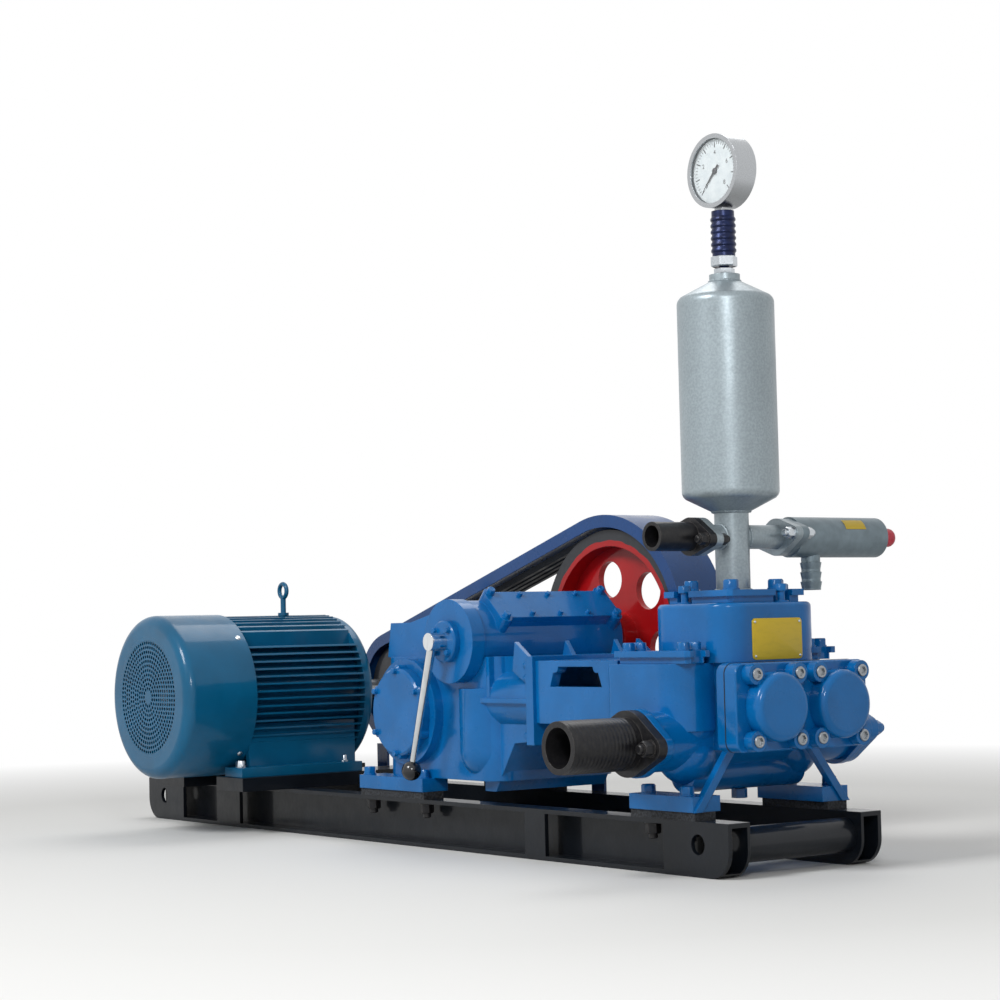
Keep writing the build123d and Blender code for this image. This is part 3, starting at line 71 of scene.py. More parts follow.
# ---- settings -----------------------------------------------------------------------------
class PumpColours(bpy.types.PropertyGroup):
    """The paint and finish colours of the pump set."""

    pump_blue: FloatVectorProperty(
        name="Pump enamel", description="Blue enamel on the pump's castings",
        subtype="COLOR", size=4, min=0, max=1, default=linear("#0264a6"))
    guard_blue: FloatVectorProperty(
        name="Guard enamel", description="Blue enamel on the belt guard's sheet",
        subtype="COLOR", size=4, min=0, max=1, default=linear("#0d447e"))
    motor_teal: FloatVectorProperty(
        name="Motor enamel", description="Teal enamel on the electric motor",
        subtype="COLOR", size=4, min=0, max=1, default=linear("#075a80"))
    skid_black: FloatVectorProperty(
        name="Skid enamel", description="Blue-black enamel on the skid",
        subtype="COLOR", size=4, min=0, max=1, default=linear("#0e131a"))
    pulley_red: FloatVectorProperty(
        name="Pulley enamel", description="Red enamel on the pump's pulley",
        subtype="COLOR", size=4, min=0, max=1, default=linear("#b01216"))
    chamber_silver: FloatVectorProperty(
        name="Aluminium paint", description="Silver paint on the air chamber and its pipe",
        subtype="COLOR", size=4, min=0, max=1, default=linear("#98a4aa"))
    relief_grey: FloatVectorProperty(
        name="Relief valve grey", description="Grey metallic paint on the relief valve",
        subtype="COLOR", size=4, min=0, max=1, default=linear("#74838b"))
    plate_yellow: FloatVectorProperty(
        name="Plain plate", description="Yellow enamel on the two plain plates",
        subtype="COLOR", size=4, min=0, max=1, default=linear("#d2b21e"))


class PumpSizes(bpy.types.PropertyGroup):
    """The fastener and dressing sizes of the pump set."""

    cover_bolt: FloatProperty(
        name="Cover bolt", description="Width across flats of the bolts on the fluid end's covers",
        unit="LENGTH", default=0.024, min=0.01, max=0.04)
    case_bolt: FloatProperty(
        name="Case bolt", description="Width across flats of the bolts on the power end",
        unit="LENGTH", default=0.017, min=0.008, max=0.03)
    foot_bolt: FloatProperty(
        name="Foot bolt", description="Width across flats of the bolts through the feet",
        unit="LENGTH", default=0.024, min=0.01, max=0.04)
    dome_screw: FloatProperty(
        name="Dome screw", description="Thread diameter of the socket screws in the dome covers",
        unit="LENGTH", default=0.014, min=0.006, max=0.02)
    vent_hole: FloatProperty(
        name="Vent hole", description="Diameter of a hole in the motor's fan grille",
        unit="LENGTH", default=0.0072, min=0.003, max=0.01)
    vent_pitch: FloatProperty(
        name="Vent pitch", description="Distance between the holes in the fan grille",
        unit="LENGTH", default=0.0094, min=0.005, max=0.02)
    hose_rib: FloatProperty(
        name="Hose rib", description="Distance between the ribs of the suction nipple",
        unit="LENGTH", default=0.008, min=0.004, max=0.02)
    gauge_marks: IntProperty(
        name="Gauge marks", description="Spaces between the long marks on the gauge's dial",
        default=8, min=4, max=12)


class PumpStage(bpy.types.PropertyGroup):
    """The floor, lamps and camera."""

    floor_size: FloatProperty(
        name="Floor", description="Length of each side of the floor",
        unit="LENGTH", default=80.0, min=10, max=200)
    key_power: FloatProperty(
        name="Key lamp",
        description="Power of the large soft lamp in watts",
        default=125, min=0, max=1000)
    fill_power: FloatProperty(
        name="Fill lamp",
        description="Power of the low lamp in front in watts",
        default=38, min=0, max=1000)
    lens: FloatProperty(
        name="Lens", description="Focal length in millimetres on a 36 mm sensor",
        default=83.46, min=20, max=300)


# ---- material helpers ---------------------------------------------------------------------
def add_node(tree, kind, sockets=None, **settings):
    """Adds a node, sets its properties, and fills or links its inputs by name or number."""
    new = tree.nodes.new(kind)
    for name, value in settings.items():
        setattr(new, name, value)
    for name, value in (sockets or {}).items():
        if isinstance(value, bpy.types.NodeSocket):
            tree.links.new(value, new.inputs[name])
        else:
            new.inputs[name].default_value = value
    return new


def start_material(name, **shader_values):
    """Starts a material and sets the plain values of its shader; returns it, its tree and shader."""
    material = bpy.data.materials.new(name)
    material.use_nodes = True
    tree = material.node_tree
    shader = tree.nodes["Principled BSDF"]
    for socket, value in shader_values.items():
        shader.inputs[socket.replace("_", " ")].default_value = value
    return material, tree, shader


def shade(colour, factor):
    """The same colour, darker or lighter."""
    return tuple(min(1.0, channel * factor) for channel in colour[:3]) + (1.0,)


def speckle(tree, size_mm, detail=2.0, stretch=(1, 1, 1)):
    """Noise whose lumps are size_mm across, 0 to 1, fixed to the piece."""
    place = add_node(tree, "ShaderNodeTexCoord").outputs["Object"]
    if stretch != (1, 1, 1):
        mapping = add_node(tree, "ShaderNodeMapping", {"Vector": place, "Scale": stretch})
        place = mapping.outputs["Vector"]
    noise = add_node(tree, "ShaderNodeTexNoise",
                     {"Vector": place, "Scale": 1000 / size_mm, "Detail": detail})
    return noise.outputs["Fac"]


def spread(tree, value, low, high, to_low=0.0, to_high=1.0):
    """Maps low..high of a pattern to to_low..to_high."""
    sockets = {"Value": value, "From Min": low, "From Max": high, "To Min": to_low, "To Max": to_high}
    return add_node(tree, "ShaderNodeMapRange", sockets).outputs["Result"]


def blend_colour(tree, factor, first, second):
    """Mixes two colours by a pattern."""
    mix = add_node(tree, "ShaderNodeMix", data_type="RGBA")
    for number, value in ((0, factor), (6, first), (7, second)):
        if isinstance(value, bpy.types.NodeSocket):
            tree.links.new(value, mix.inputs[number])
        else:
            mix.inputs[number].default_value = value
    return mix.outputs[2]


def multiply(tree, first, second):
    """Multiplies two patterns."""
    return add_node(tree, "ShaderNodeMath", {0: first, 1: second}, operation="MULTIPLY").outputs[0]


def edge_mask(tree, radius_mm):
    """0 on flat surfaces, rising to 1 along edges within radius_mm."""
    rounded = add_node(tree, "ShaderNodeBevel", {"Radius": radius_mm * MM}, samples=4)
    plain = add_node(tree, "ShaderNodeNewGeometry")
    dot = add_node(tree, "ShaderNodeVectorMath",
                   {0: rounded.outputs["Normal"], 1: plain.outputs["Normal"]},
                   operation="DOT_PRODUCT")
    return spread(tree, dot.outputs["Value"], 0.995, 0.86)


def relief(tree, height, depth_mm, edge_mm=0.0, under=None):
    """A bump of depth_mm over softened edges, or over another bump."""
    bump = add_node(tree, "ShaderNodeBump", {"Height": height, "Distance": depth_mm * MM})
    if under is not None:
        tree.links.new(under, bump.inputs["Normal"])
    elif edge_mm:
        rounded = add_node(tree, "ShaderNodeBevel", {"Radius": edge_mm * MM}, samples=4)
        tree.links.new(rounded.outputs["Normal"], bump.inputs["Normal"])
    return bump.outputs["Normal"]


# ---- materials ----------------------------------------------------------------------------
def enamel(name, colour, grain_mm, grain_depth_mm, roughness, edge_mm, edge_highlight_and_wear=0.35):
    """Glossy enamel over a casting or sheet: grain below, soft edges, and a painted highlight of paler
    tone on edges, partly as thinner paint.
    """
    material, tree, shader = start_material(name, Roughness=roughness, IOR=1.5, Specular_IOR_Level=0.12,
                                            Coat_Weight=0.42, Coat_Roughness=0.1)
    # brushed-on enamel differs in depth over about 90 mm, and dust dulls it in patches
    cloud = spread(tree, speckle(tree, 90, 3), 0.35, 0.65)
    painted = blend_colour(tree, cloud, shade(colour, 0.88), shade(colour, 1.08))
    # a painted highlight along edges: a paler tone there, broken in patches, partly as paint worn thin
    patches = spread(tree, speckle(tree, 14, 4), 0.3, 0.7, 0.0, edge_highlight_and_wear)
    painted_edge_highlight = multiply(tree, edge_mask(tree, edge_mm), patches)
    edge_highlit_paint = blend_colour(tree, painted_edge_highlight, painted, shade(colour, 1.9))
    tree.links.new(edge_highlit_paint, shader.inputs["Base Color"])
    patchy = spread(tree, speckle(tree, 35, 3), 0.3, 0.7, roughness - 0.06, roughness + 0.1)
    tree.links.new(patchy, shader.inputs["Roughness"])
    # the sand grain and the slow orange peel of the paint over it
    grain = relief(tree, speckle(tree, grain_mm, 3), grain_depth_mm, edge_mm)
    peel = relief(tree, speckle(tree, 28, 1), grain_depth_mm * 1.6, under=grain)
    tree.links.new(peel, shader.inputs["Normal"])
    return material


def cast_iron_enamel(colours):
    """Blue enamel on sand-cast iron: bright and glossy, with a faint lumpy skin.

    Real sand grain is 0.4 mm; it is drawn 5 mm wide so that it shows."""
    return enamel("cast_iron_blue_enamel", colours.pump_blue, 5, 0.22, 0.3, 3.0)


def sheet_steel_enamel(colours):
    """Blue enamel on folded sheet steel: smooth, darker, with only a long slow wave."""
    return enamel("sheet_steel_blue_enamel", colours.guard_blue, 22, 0.12, 0.28, 1.0)


def motor_enamel(colours):
    """Teal enamel sprayed on cast aluminium and pressed steel: even and satin."""
    return enamel("motor_teal_enamel", colours.motor_teal, 7, 0.12, 0.34, 1.6)


def skid_enamel(colours):
    """Blue-black enamel rolled on hot-rolled channel: dull, with a coarse mill skin."""
    # its painted edge highlight, partly wear, is stronger than on the other enamels
    return enamel("rolled_steel_black_enamel", colours.skid_black, 9, 0.3, 0.42, 2.0, edge_highlight_and_wear=0.5)


def pulley_enamel(colours):
    """Red enamel on the web and hub of a cast iron pulley, whose grooved rim is bare and dark."""
    material = enamel("cast_iron_red_enamel", colours.pulley_red, 6, 0.2, 0.36, 2.0)
    tree = material.node_tree
    shader = tree.nodes["Principled BSDF"]
    painted = shader.inputs["Base Color"].links[0].from_socket
    low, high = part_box("pump_pulley")
    axle = (low + high) / 2
    place = add_node(tree, "ShaderNodeTexCoord").outputs["Object"]
    arm = add_node(tree, "ShaderNodeVectorMath", {0: place, 1: axle}, operation="SUBTRACT")
    in_plane = add_node(tree, "ShaderNodeVectorMath", {0: arm.outputs["Vector"], 1: (1, 0, 1)},
                        operation="MULTIPLY")
    reach = add_node(tree, "ShaderNodeVectorMath", {0: in_plane.outputs["Vector"]}, operation="LENGTH")
    # the paint stops, a little uneven, where the web meets the rim
    rim_start = (high.x - low.x) / 2 - 22 * MM
    wander = spread(tree, speckle(tree, 30, 2), 0.3, 0.7, -1.5 * MM, 1.5 * MM)
    edge = add_node(tree, "ShaderNodeMath", {0: reach.outputs["Value"], 1: wander}, operation="ADD")
    rim = spread(tree, edge.outputs[0], rim_start, rim_start + 1 * MM)
    iron = blend_colour(tree, speckle(tree, 9, 4), linear("#232529"), linear("#37393d"))
    tree.links.new(blend_colour(tree, rim, painted, iron), shader.inputs["Base Color"])
    return material


def aluminium_paint(colours):
    """Aluminium flake paint on a welded steel shell: silvery, with soft broad reflections."""
    colour = colours.chamber_silver
    material, tree, shader = start_material("aluminium_flake_paint", Metallic=0.45, Roughness=0.34)
    flake = spread(tree, speckle(tree, 4, 4), 0.35, 0.65)
    runs = spread(tree, speckle(tree, 60, 3, (1, 1, 0.35)), 0.3, 0.7)
    base = blend_colour(tree, flake, shade(colour, 0.86), shade(colour, 1.08))
    tree.links.new(blend_colour(tree, multiply(tree, runs, 0.3), base, shade(colour, 0.72)),
                   shader.inputs["Base Color"])
    tree.links.new(spread(tree, runs, 0, 1, 0.3, 0.46), shader.inputs["Roughness"])
    skin = relief(tree, speckle(tree, 12, 3), 0.18, 2.0)
    tree.links.new(relief(tree, speckle(tree, 70, 2), 0.7, under=skin), shader.inputs["Normal"])
    return material


def relief_paint(colours):
    """Grey metallic paint on the turned relief valve body: flatter and bluer than the chamber."""
    colour = colours.relief_grey
    material, tree, shader = start_material("grey_metallic_paint", Metallic=0.4, Roughness=0.4)
    cloud = spread(tree, speckle(tree, 18, 4), 0.3, 0.7)
    tree.links.new(blend_colour(tree, cloud, shade(colour, 0.85), shade(colour, 1.12)),
                   shader.inputs["Base Color"])
    tree.links.new(relief(tree, speckle(tree, 8, 3), 0.15, 1.5), shader.inputs["Normal"])
    return material


def bare_metal(name, hex_colour, roughness, scratch_mm, stretch=(1, 1, 1), scatter=0.1):
    """A bare or plated metal whose gloss varies in fine marks."""
    colour = linear(hex_colour)
    material, tree, shader = start_material(name, Metallic=1.0, Roughness=roughness)
    marks = spread(tree, speckle(tree, scratch_mm, 4, stretch), 0.3, 0.7)
    tree.links.new(blend_colour(tree, marks, shade(colour, 0.85), colour), shader.inputs["Base Color"])
    rough = spread(tree, marks, 0, 1, max(0.03, roughness - scatter / 2), roughness + scatter)
    tree.links.new(rough, shader.inputs["Roughness"])
    tree.links.new(relief(tree, marks, 0.03, 0.8), shader.inputs["Normal"])
    return material


def turned_steel():
    """Turned steel of shafts and rods: bright, with fine rings from the tool."""
    return bare_metal("turned_steel", "#9a9ea2", 0.3, 3, (1, 6, 1))


def zinc_plate():
    """Zinc-plated fasteners: pale, slightly blue, softly mirrored."""
    return bare_metal("zinc_plated_steel", "#c4cacf", 0.3, 3)


def hard_chrome():
    """Chrome-plated lever: a clear mirror with faint wipe marks."""
    return bare_metal("chrome_plate", "#dfe2e4", 0.06, 8, (1, 1, 0.2), 0.06)


def dark_chrome():
    """Black chrome on the gauge's bezel: a dark mirror."""
    return bare_metal("black_chrome_plate", "#3c4248", 0.12, 6)


def gauge_stainless():
    """Pressed stainless gauge case: fine satin brushing."""
    return bare_metal("satin_stainless_steel", "#b7babd", 0.26, 2, (1, 1, 8))


def painted_iron_black():
    """Black paint on a threaded iron nipple: soft sheen with greyed high spots, and a painted highlight
    in grey along edges, partly as dust.
    """
    colour = linear("#19191c")
    material, tree, shader = start_material(
        "black_painted_iron", Roughness=0.36, IOR=1.5, Specular_IOR_Level=0.3)
    rub = spread(tree, speckle(tree, 9, 5), 0.45, 0.75)
    # a painted highlight along edges: a grey tone there, partly as dust
    edge_sheen_and_dust = multiply(tree, edge_mask(tree, 1.5), 0.6)
    faded = blend_colour(tree, multiply(tree, rub, 0.35), colour, linear("#3a3836"))
    tree.links.new(blend_colour(tree, edge_sheen_and_dust, faded, linear("#56524e")), shader.inputs["Base Color"])
    tree.links.new(relief(tree, speckle(tree, 5, 3), 0.25, 1.2), shader.inputs["Normal"])
    return material


def pad_rubber():
    """Pads of pressed rubber crumb: matt near-black with grey granules about 4 mm wide."""
    material, tree, shader = start_material("rubber_crumb", Roughness=0.9, IOR=1.52)
    place = add_node(tree, "ShaderNodeTexCoord").outputs["Object"]
    crumb = add_node(tree, "ShaderNodeTexVoronoi", {"Vector": place, "Scale": 1000 / 4})
    tone = spread(tree, crumb.outputs["Distance"], 0.1, 0.8)
    tree.links.new(blend_colour(tree, tone, linear("#3a3d42"), linear("#141518")),
                   shader.inputs["Base Color"])
    tree.links.new(relief(tree, crumb.outputs["Distance"], 0.9), shader.inputs["Normal"])
    return material


def belt_rubber():
    """Cloth-wrapped V-belt rubber: black, dull, polished a little where it runs.

    The cloth's 1 mm weave is drawn 3 mm wide so that it shows."""
    material, tree, shader = start_material(
        "wrapped_belt_rubber", Roughness=0.62, IOR=1.52, Specular_IOR_Level=0.3)
    weave = speckle(tree, 3, 2, (1, 2.5, 1))
    tone = spread(tree, weave, 0.3, 0.7)
    tree.links.new(blend_colour(tree, tone, linear("#17181a"), linear("#2d2e31")),
                   shader.inputs["Base Color"])
    tree.links.new(spread(tree, speckle(tree, 40, 2), 0.3, 0.7, 0.45, 0.75), shader.inputs["Roughness"])
    tree.links.new(relief(tree, weave, 0.25), shader.inputs["Normal"])
    return material


def knob_phenolic():
    """Moulded phenolic ball: black with one sharp highlight."""
    material, tree, shader = start_material("phenolic_ball", Roughness=0.12, IOR=1.6)
    tone = spread(tree, speckle(tree, 20, 2), 0.3, 0.7)
    tree.links.new(blend_colour(tree, tone, linear("#08080a"), linear("#121216")),
                   shader.inputs["Base Color"])
    tree.links.new(spread(tree, tone, 0, 1, 0.08, 0.2), shader.inputs["Roughness"])
    return material


def cap_polythene():
    """Moulded red polythene cap: waxy and slightly see-through at its rim."""
    material, tree, shader = start_material("red_polythene", Roughness=0.38, IOR=1.51,
                                            Subsurface_Weight=0.15, Subsurface_Scale=0.004)
    tone = spread(tree, speckle(tree, 10, 2), 0.3, 0.7)
    tree.links.new(blend_colour(tree, tone, linear("#a81e34"), linear("#cf2f45")),
                   shader.inputs["Base Color"])
    tree.links.new(relief(tree, speckle(tree, 6, 2), 0.1, 1.5), shader.inputs["Normal"])
    return material


def damper_anodise():
    """Blue anodised aluminium of the gauge damper: dark navy with a metallic glint."""
    material, tree, shader = start_material("navy_anodised_aluminium", Metallic=0.55, Roughness=0.33)
    tone = spread(tree, speckle(tree, 8, 4), 0.3, 0.7)
    tree.links.new(blend_colour(tree, tone, linear("#0a1230"), linear("#142450")),
                   shader.inputs["Base Color"])
    tree.links.new(relief(tree, tone, 0.08, 1.0), shader.inputs["Normal"])
    return material


def dial_card():
    """Printed dial card: matt off-white."""
    material, tree, shader = start_material("dial_card", Roughness=0.6, IOR=1.5)
    tone = spread(tree, speckle(tree, 15, 3), 0.3, 0.7)
    tree.links.new(blend_colour(tree, tone, linear("#cfd8dc"), linear("#dde4e6")),
                   shader.inputs["Base Color"])
    return material


def dial_ink():
    """Black printing ink and the lacquered pointer: matt black."""
    material, tree, shader = start_material("dial_ink", Roughness=0.5, IOR=1.5)
    tone = spread(tree, speckle(tree, 6, 2), 0.3, 0.7)
    tree.links.new(blend_colour(tree, tone, linear("#26262a"), linear("#3a3a40")),
                   shader.inputs["Base Color"])
    return material


def gauge_glass():
    """The gauge's flat window glass: clear, seen by its reflections."""
    material, tree, shader = start_material("window_glass", Roughness=0.02, IOR=1.45, Alpha=0.1)
    smear = spread(tree, speckle(tree, 12, 3), 0.3, 0.7, 0.02, 0.08)
    tree.links.new(smear, shader.inputs["Roughness"])
    shader.inputs["Base Color"].default_value = linear("#f4f7f8")
    return material


def plate_enamel(colours):
    """Stoved yellow enamel on a thin aluminium plate: even, with faint scuffs."""
    colour = colours.plate_yellow
    material, tree, shader = start_material("yellow_stoved_enamel", Roughness=0.35, IOR=1.5)
    scuff = spread(tree, speckle(tree, 7, 5, (1, 0.3, 1)), 0.5, 0.8)
    tree.links.new(blend_colour(tree, multiply(tree, scuff, 0.3), colour, shade(colour, 0.6)),
                   shader.inputs["Base Color"])
    tree.links.new(relief(tree, speckle(tree, 30, 1), 0.15, 0.6), shader.inputs["Normal"])
    return material


def finish(material, *names):
    """Gives CAD pieces a finish."""
    for name in names:
        target = nodes[name]
        if not target.material_slots:
            raise RuntimeError(f"{name} has no material slot")
        for slot in target.material_slots:
            slot.material = material


def shared(make, *settings):
    """Makes a finish once and hands the same one out afterwards."""
    if make.__name__ not in made_finishes:
        made_finishes[make.__name__] = make(*settings)
    return made_finishes[make.__name__]


made_finishes = {}


# ---- shape helpers ------------------------------------------------------------------------
def middle(name):
    """The middle of a CAD piece's box."""
    low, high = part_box(name)
    return (low + high) / 2


def turn(bm, place, axis, profile, sides=24, spin=0.0):
    """Adds a turned or hexagonal form: profile holds (radius, height, "round" or "hex")."""
    facing = axis.to_track_quat("Z", "Y").to_matrix().to_4x4()
    seat = Matrix.Translation(place) @ facing @ Matrix.Rotation(spin, 4, "Z")
    rings = []
    for radius, height, shape in profile:
        if radius == 0:
            rings.append([bm.verts.new(seat @ Vector((0, 0, height)))])
            continue
        ring = []
        for i in range(sides):
            angle = TAU * i / sides
            reach = radius
            if shape == "hex":
                reach = radius / math.cos(angle % (TAU / 6) - TAU / 12)
            corner = Vector((reach * math.cos(angle), reach * math.sin(angle), height))
            ring.append(bm.verts.new(seat @ corner))
        rings.append(ring)
    for first, second in zip(rings, rings[1:]):
        for i in range(sides):
            j = (i + 1) % sides
            if len(first) == 1:
                bm.faces.new((first[0], second[i], second[j]))
            elif len(second) == 1:
                bm.faces.new((first[i], first[j], second[0]))
            else:
                bm.faces.new((first[i], first[j], second[j], second[i]))


def add_hex_bolt(bm, place, axis, flats, spin=0.3, shank=0.0):
    """A hex head on its washer, with the head's chamfer; shank lifts it off its seat."""
    half = flats / 2
    washer = 0.13 * flats
    top = washer + shank + 0.62 * flats
    profile = [(1.08 * half * 1.15, -1 * MM, "round"), (1.08 * half * 1.15, washer, "round")]
    if shank:
        profile += [(0.33 * flats, washer, "round"), (0.33 * flats, washer + shank, "round")]
    profile += [
        (half, washer + shank, "hex"),
        (half, top - 0.1 * flats, "hex"),
        (0.96 * half, top, "round"),
        (0.5 * half, top, "round"),
        (0.42 * half, top - 0.03 * flats, "round"),
        (0, top - 0.03 * flats, "round"),
    ]
    turn(bm, place, axis, profile, spin=spin)


def add_stud_nut(bm, place, axis, flats, spin=0.3):
    """A hex nut with a rounded stud end standing out of it."""
    half = flats / 2
    height = 0.85 * flats
    bolt = 0.33 * flats
    turn(bm, place, axis, [
        (1.25 * half, -1 * MM, "round"),
        (1.25 * half, 0.12 * flats, "round"),
        (half, 0.12 * flats, "hex"),
        (half, height - 0.1 * flats, "hex"),
        (0.95 * half, height, "round"),
        (bolt, height, "round"),
        (bolt, height + 0.28 * flats, "round"),
        (0.75 * bolt, height + 0.34 * flats, "round"),
        (0, height + 0.34 * flats, "round"),
    ], spin=spin)


def add_socket_screw(bm, place, axis, thread):
    """A sunk cylindrical socket head with its hexagonal key hole; only its rim stands out."""
    head = 0.75 * thread
    key = 0.42 * thread
    turn(bm, place, axis, [
        (head, -1 * MM, "round"),
        (head, 0.16 * thread, "round"),
        (0.9 * head, 0.26 * thread, "round"),
        (key, 0.26 * thread, "hex"),
        (key, 0.02 * thread, "hex"),
        (0, 0.02 * thread, "round"),
    ])


def add_ribs(bm, place, axis, radius, length, pitch, rise):
    """Rounded ribs round a pipe, from place along axis."""
    count = max(1, int(length / pitch))
    profile = [(radius - 0.5 * MM, 0, "round")]
    for i in range(count):
        start = i * pitch
        profile += [
            (radius + 0.15 * MM, start + 0.1 * pitch, "round"),
            (radius + rise, start + 0.35 * pitch, "round"),
            (radius + rise, start + 0.6 * pitch, "round"),
            (radius + 0.15 * MM, start + 0.9 * pitch, "round"),
        ]
    profile.append((radius - 0.5 * MM, count * pitch, "round"))
    turn(bm, place, axis, profile, sides=48)


def add_bead(bm, place, axis, radius, size):
    """A weld bead round a pipe or shell, a little uneven in height."""
    seat = Matrix.Translation(place) @ axis.to_track_quat("Z", "Y").to_matrix().to_4x4()
    steps, around = 96, 8
    rings = []
    for i in range(steps):
        angle = TAU * i / steps
        lift = size * (1 + 0.22 * math.sin(23 * angle) + 0.12 * math.sin(41 * angle + 1))
        ring = []
        for k in range(around):
            turn_angle = TAU * k / around
            reach = radius + lift * math.cos(turn_angle)
            height = 0.9 * size * math.sin(turn_angle)
            corner = Vector((reach * math.cos(angle), reach * math.sin(angle), height))
            ring.append(bm.verts.new(seat @ corner))
        rings.append(ring)
    for i in range(steps):
        first, second = rings[i], rings[(i + 1) % steps]
        for k in range(around):
            m = (k + 1) % around
            bm.faces.new((first[k], first[m], second[m], second[k]))


def make_piece(name, bm, material, body="root"):
    """Turns a bmesh into a piece that rides on a body."""
    bmesh.ops.recalc_face_normals(bm, faces=bm.faces)
    for face in bm.faces:
        face.smooth = True
    for edge in bm.edges:
        if len(edge.link_faces) == 2 and edge.calc_face_angle(0) > math.radians(35):
            edge.smooth = False
    mesh = bpy.data.meshes.new(name)
    bm.to_mesh(mesh)
    bm.free()
    mesh.materials.append(material)
    piece = bpy.data.objects.new(name, mesh)
    bpy.context.scene.collection.objects.link(piece)
    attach(piece, body)
    return piece


def rounded_outline(half_y, half_z, radius):
    """The points (y, z) of a rectangle with round corners, anticlockwise."""
    points = []
    for corner in range(4):
        diagonal = math.radians(45 + 90 * corner)
        centre_y = math.copysign(half_y - radius, math.cos(diagonal))
        centre_z = math.copysign(half_z - radius, math.sin(diagonal))
        for i in range(7):
            angle = math.radians(90 * corner + 15 * i)
            points.append((centre_y + radius * math.cos(angle), centre_z + radius * math.sin(angle)))
    return points


def join_rings(bm, first, second):
    """Closes the band between two rings of points."""
    for i in range(len(first)):
        j = (i + 1) % len(first)
        bm.faces.new((first[i], first[j], second[j], second[i]))


# ---- operators: finishes of the CAD pieces ------------------------------------------------
class MUDPUMP_OT_finish_castings(bpy.types.Operator):
    """Paint the pump's castings, the skid, the drive and the motor"""

    bl_idname = "mudpump.finish_castings"
    bl_label = "Paint Castings, Skid and Motor"

    def execute(self, context):
        colours = context.scene.mudpump_colours
        finish(shared(cast_iron_enamel, colours),
               "crankcase", "crank_cover_near", "crank_cover_far", "gear_case", "gear_case_cover",
               "lever_boss", "guide_frame", "fluid_end_block", "front_plate", "dome_cover_near",
               "dome_cover_far", "valve_cover_near", "valve_cover_far", "discharge_tower",
               "tower_cover", "front_feet", "suction_blind_flange", "drain_plug")
        finish(shared(sheet_steel_enamel, colours), "belt_guard", "guard_brackets")
        finish(shared(motor_enamel, colours),
               "motor_frame", "motor_end_shield", "motor_fan_cowl", "motor_terminal_box",
               "motor_eye_bolt", "fan_grille")
        finish(shared(skid_enamel, colours),
               "near_rail", "far_rail", "front_cross_pipe", "rear_cross_pipe", "cross_beams",
               "motor_slide_front", "motor_slide_rear")
        finish(shared(pulley_enamel, colours), "pump_pulley", "motor_pulley")
        return {"FINISHED"}


class MUDPUMP_OT_finish_fittings(bpy.types.Operator):
    """Finish the metal, rubber and plastic fittings"""

    bl_idname = "mudpump.finish_fittings"
    bl_label = "Finish Fittings"

    def execute(self, context):
        colours = context.scene.mudpump_colours
        finish(shared(aluminium_paint, colours), "air_chamber", "discharge_tee")
        finish(shared(relief_paint, colours), "relief_valve")
        finish(shared(cap_polythene), "relief_cap")
        finish(shared(painted_iron_black), "suction_nipple", "discharge_nipple")
        finish(shared(damper_anodise), "gauge_damper")
        finish(shared(gauge_stainless), "pressure_gauge")
        finish(shared(turned_steel), "piston_rods", "input_shaft", "motor_shaft")
        finish(shared(hard_chrome), "shift_lever")
        finish(shared(knob_phenolic), "shift_knob")
        finish(shared(belt_rubber), "drive_belts", "motor_fan")
        finish(shared(pad_rubber), "foot_pads")
        return {"FINISHED"}


# ---- operators: fasteners -----------------------------------------------------------------
class MUDPUMP_OT_cover_bolts(bpy.types.Operator):
    """Bolt down the covers of the fluid end and its tower"""

    bl_idname = "mudpump.cover_bolts"
    bl_label = "Fluid End Cover Bolts"

    def execute(self, context):
        sizes = context.scene.mudpump_sizes
        flats = sizes.cover_bolt
        bm = bmesh.new()
        low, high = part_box("tower_cover")
        centre = middle("tower_cover")
        half = (high.x - low.x) / 2
        for step in range(4):
            # a long bolt in the notch of each side, its shank in view
            angle = step * TAU / 4
            out = Vector((math.cos(angle), math.sin(angle), 0))
            across = Vector((-out.y, out.x, 0)) * (1 if step % 2 == 0 else -1)
            place = Vector((centre.x, centre.y, low.z)) + out * (half - 8 * MM) + across * 36 * MM
            add_hex_bolt(bm, place, UP, 0.85 * flats, shank=16 * MM, spin=0.4 * step)
            corner = (out + Vector((-out.y, out.x, 0))) * 0.58 * half
            add_hex_bolt(bm, Vector((centre.x, centre.y, high.z)) + corner, UP, flats, spin=0.7 * step)
        for name in ("valve_cover_near", "valve_cover_far"):
            low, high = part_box(name)
            for y in (low.y + 16 * MM, high.y - 16 * MM):
                for x in (low.x + 28 * MM, high.x - 28 * MM):
                    add_hex_bolt(bm, Vector((x, y, high.z)), UP, 0.8 * flats, spin=9 * y)
        make_piece("cover_bolts", bm, shared(cast_iron_enamel))
        return {"FINISHED"}


class MUDPUMP_OT_dome_screws(bpy.types.Operator):
    """Fit the socket screws of the dome covers"""

    bl_idname = "mudpump.dome_screws"
    bl_label = "Dome Cover Screws"

    def execute(self, context):
        thread = context.scene.mudpump_sizes.dome_screw
        lug_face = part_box("front_plate")[1].x + 20 * MM
        bm = bmesh.new()
        for name in ("dome_cover_near", "dome_cover_far"):
            centre = middle(name)
            for y in (-48 * MM, 48 * MM):
                for z in (-55 * MM, 55 * MM):
                    place = Vector((lug_face, centre.y + y, centre.z + z))
                    add_socket_screw(bm, place, RIGHT, thread)
        make_piece("dome_screws", bm, shared(turned_steel))
        return {"FINISHED"}


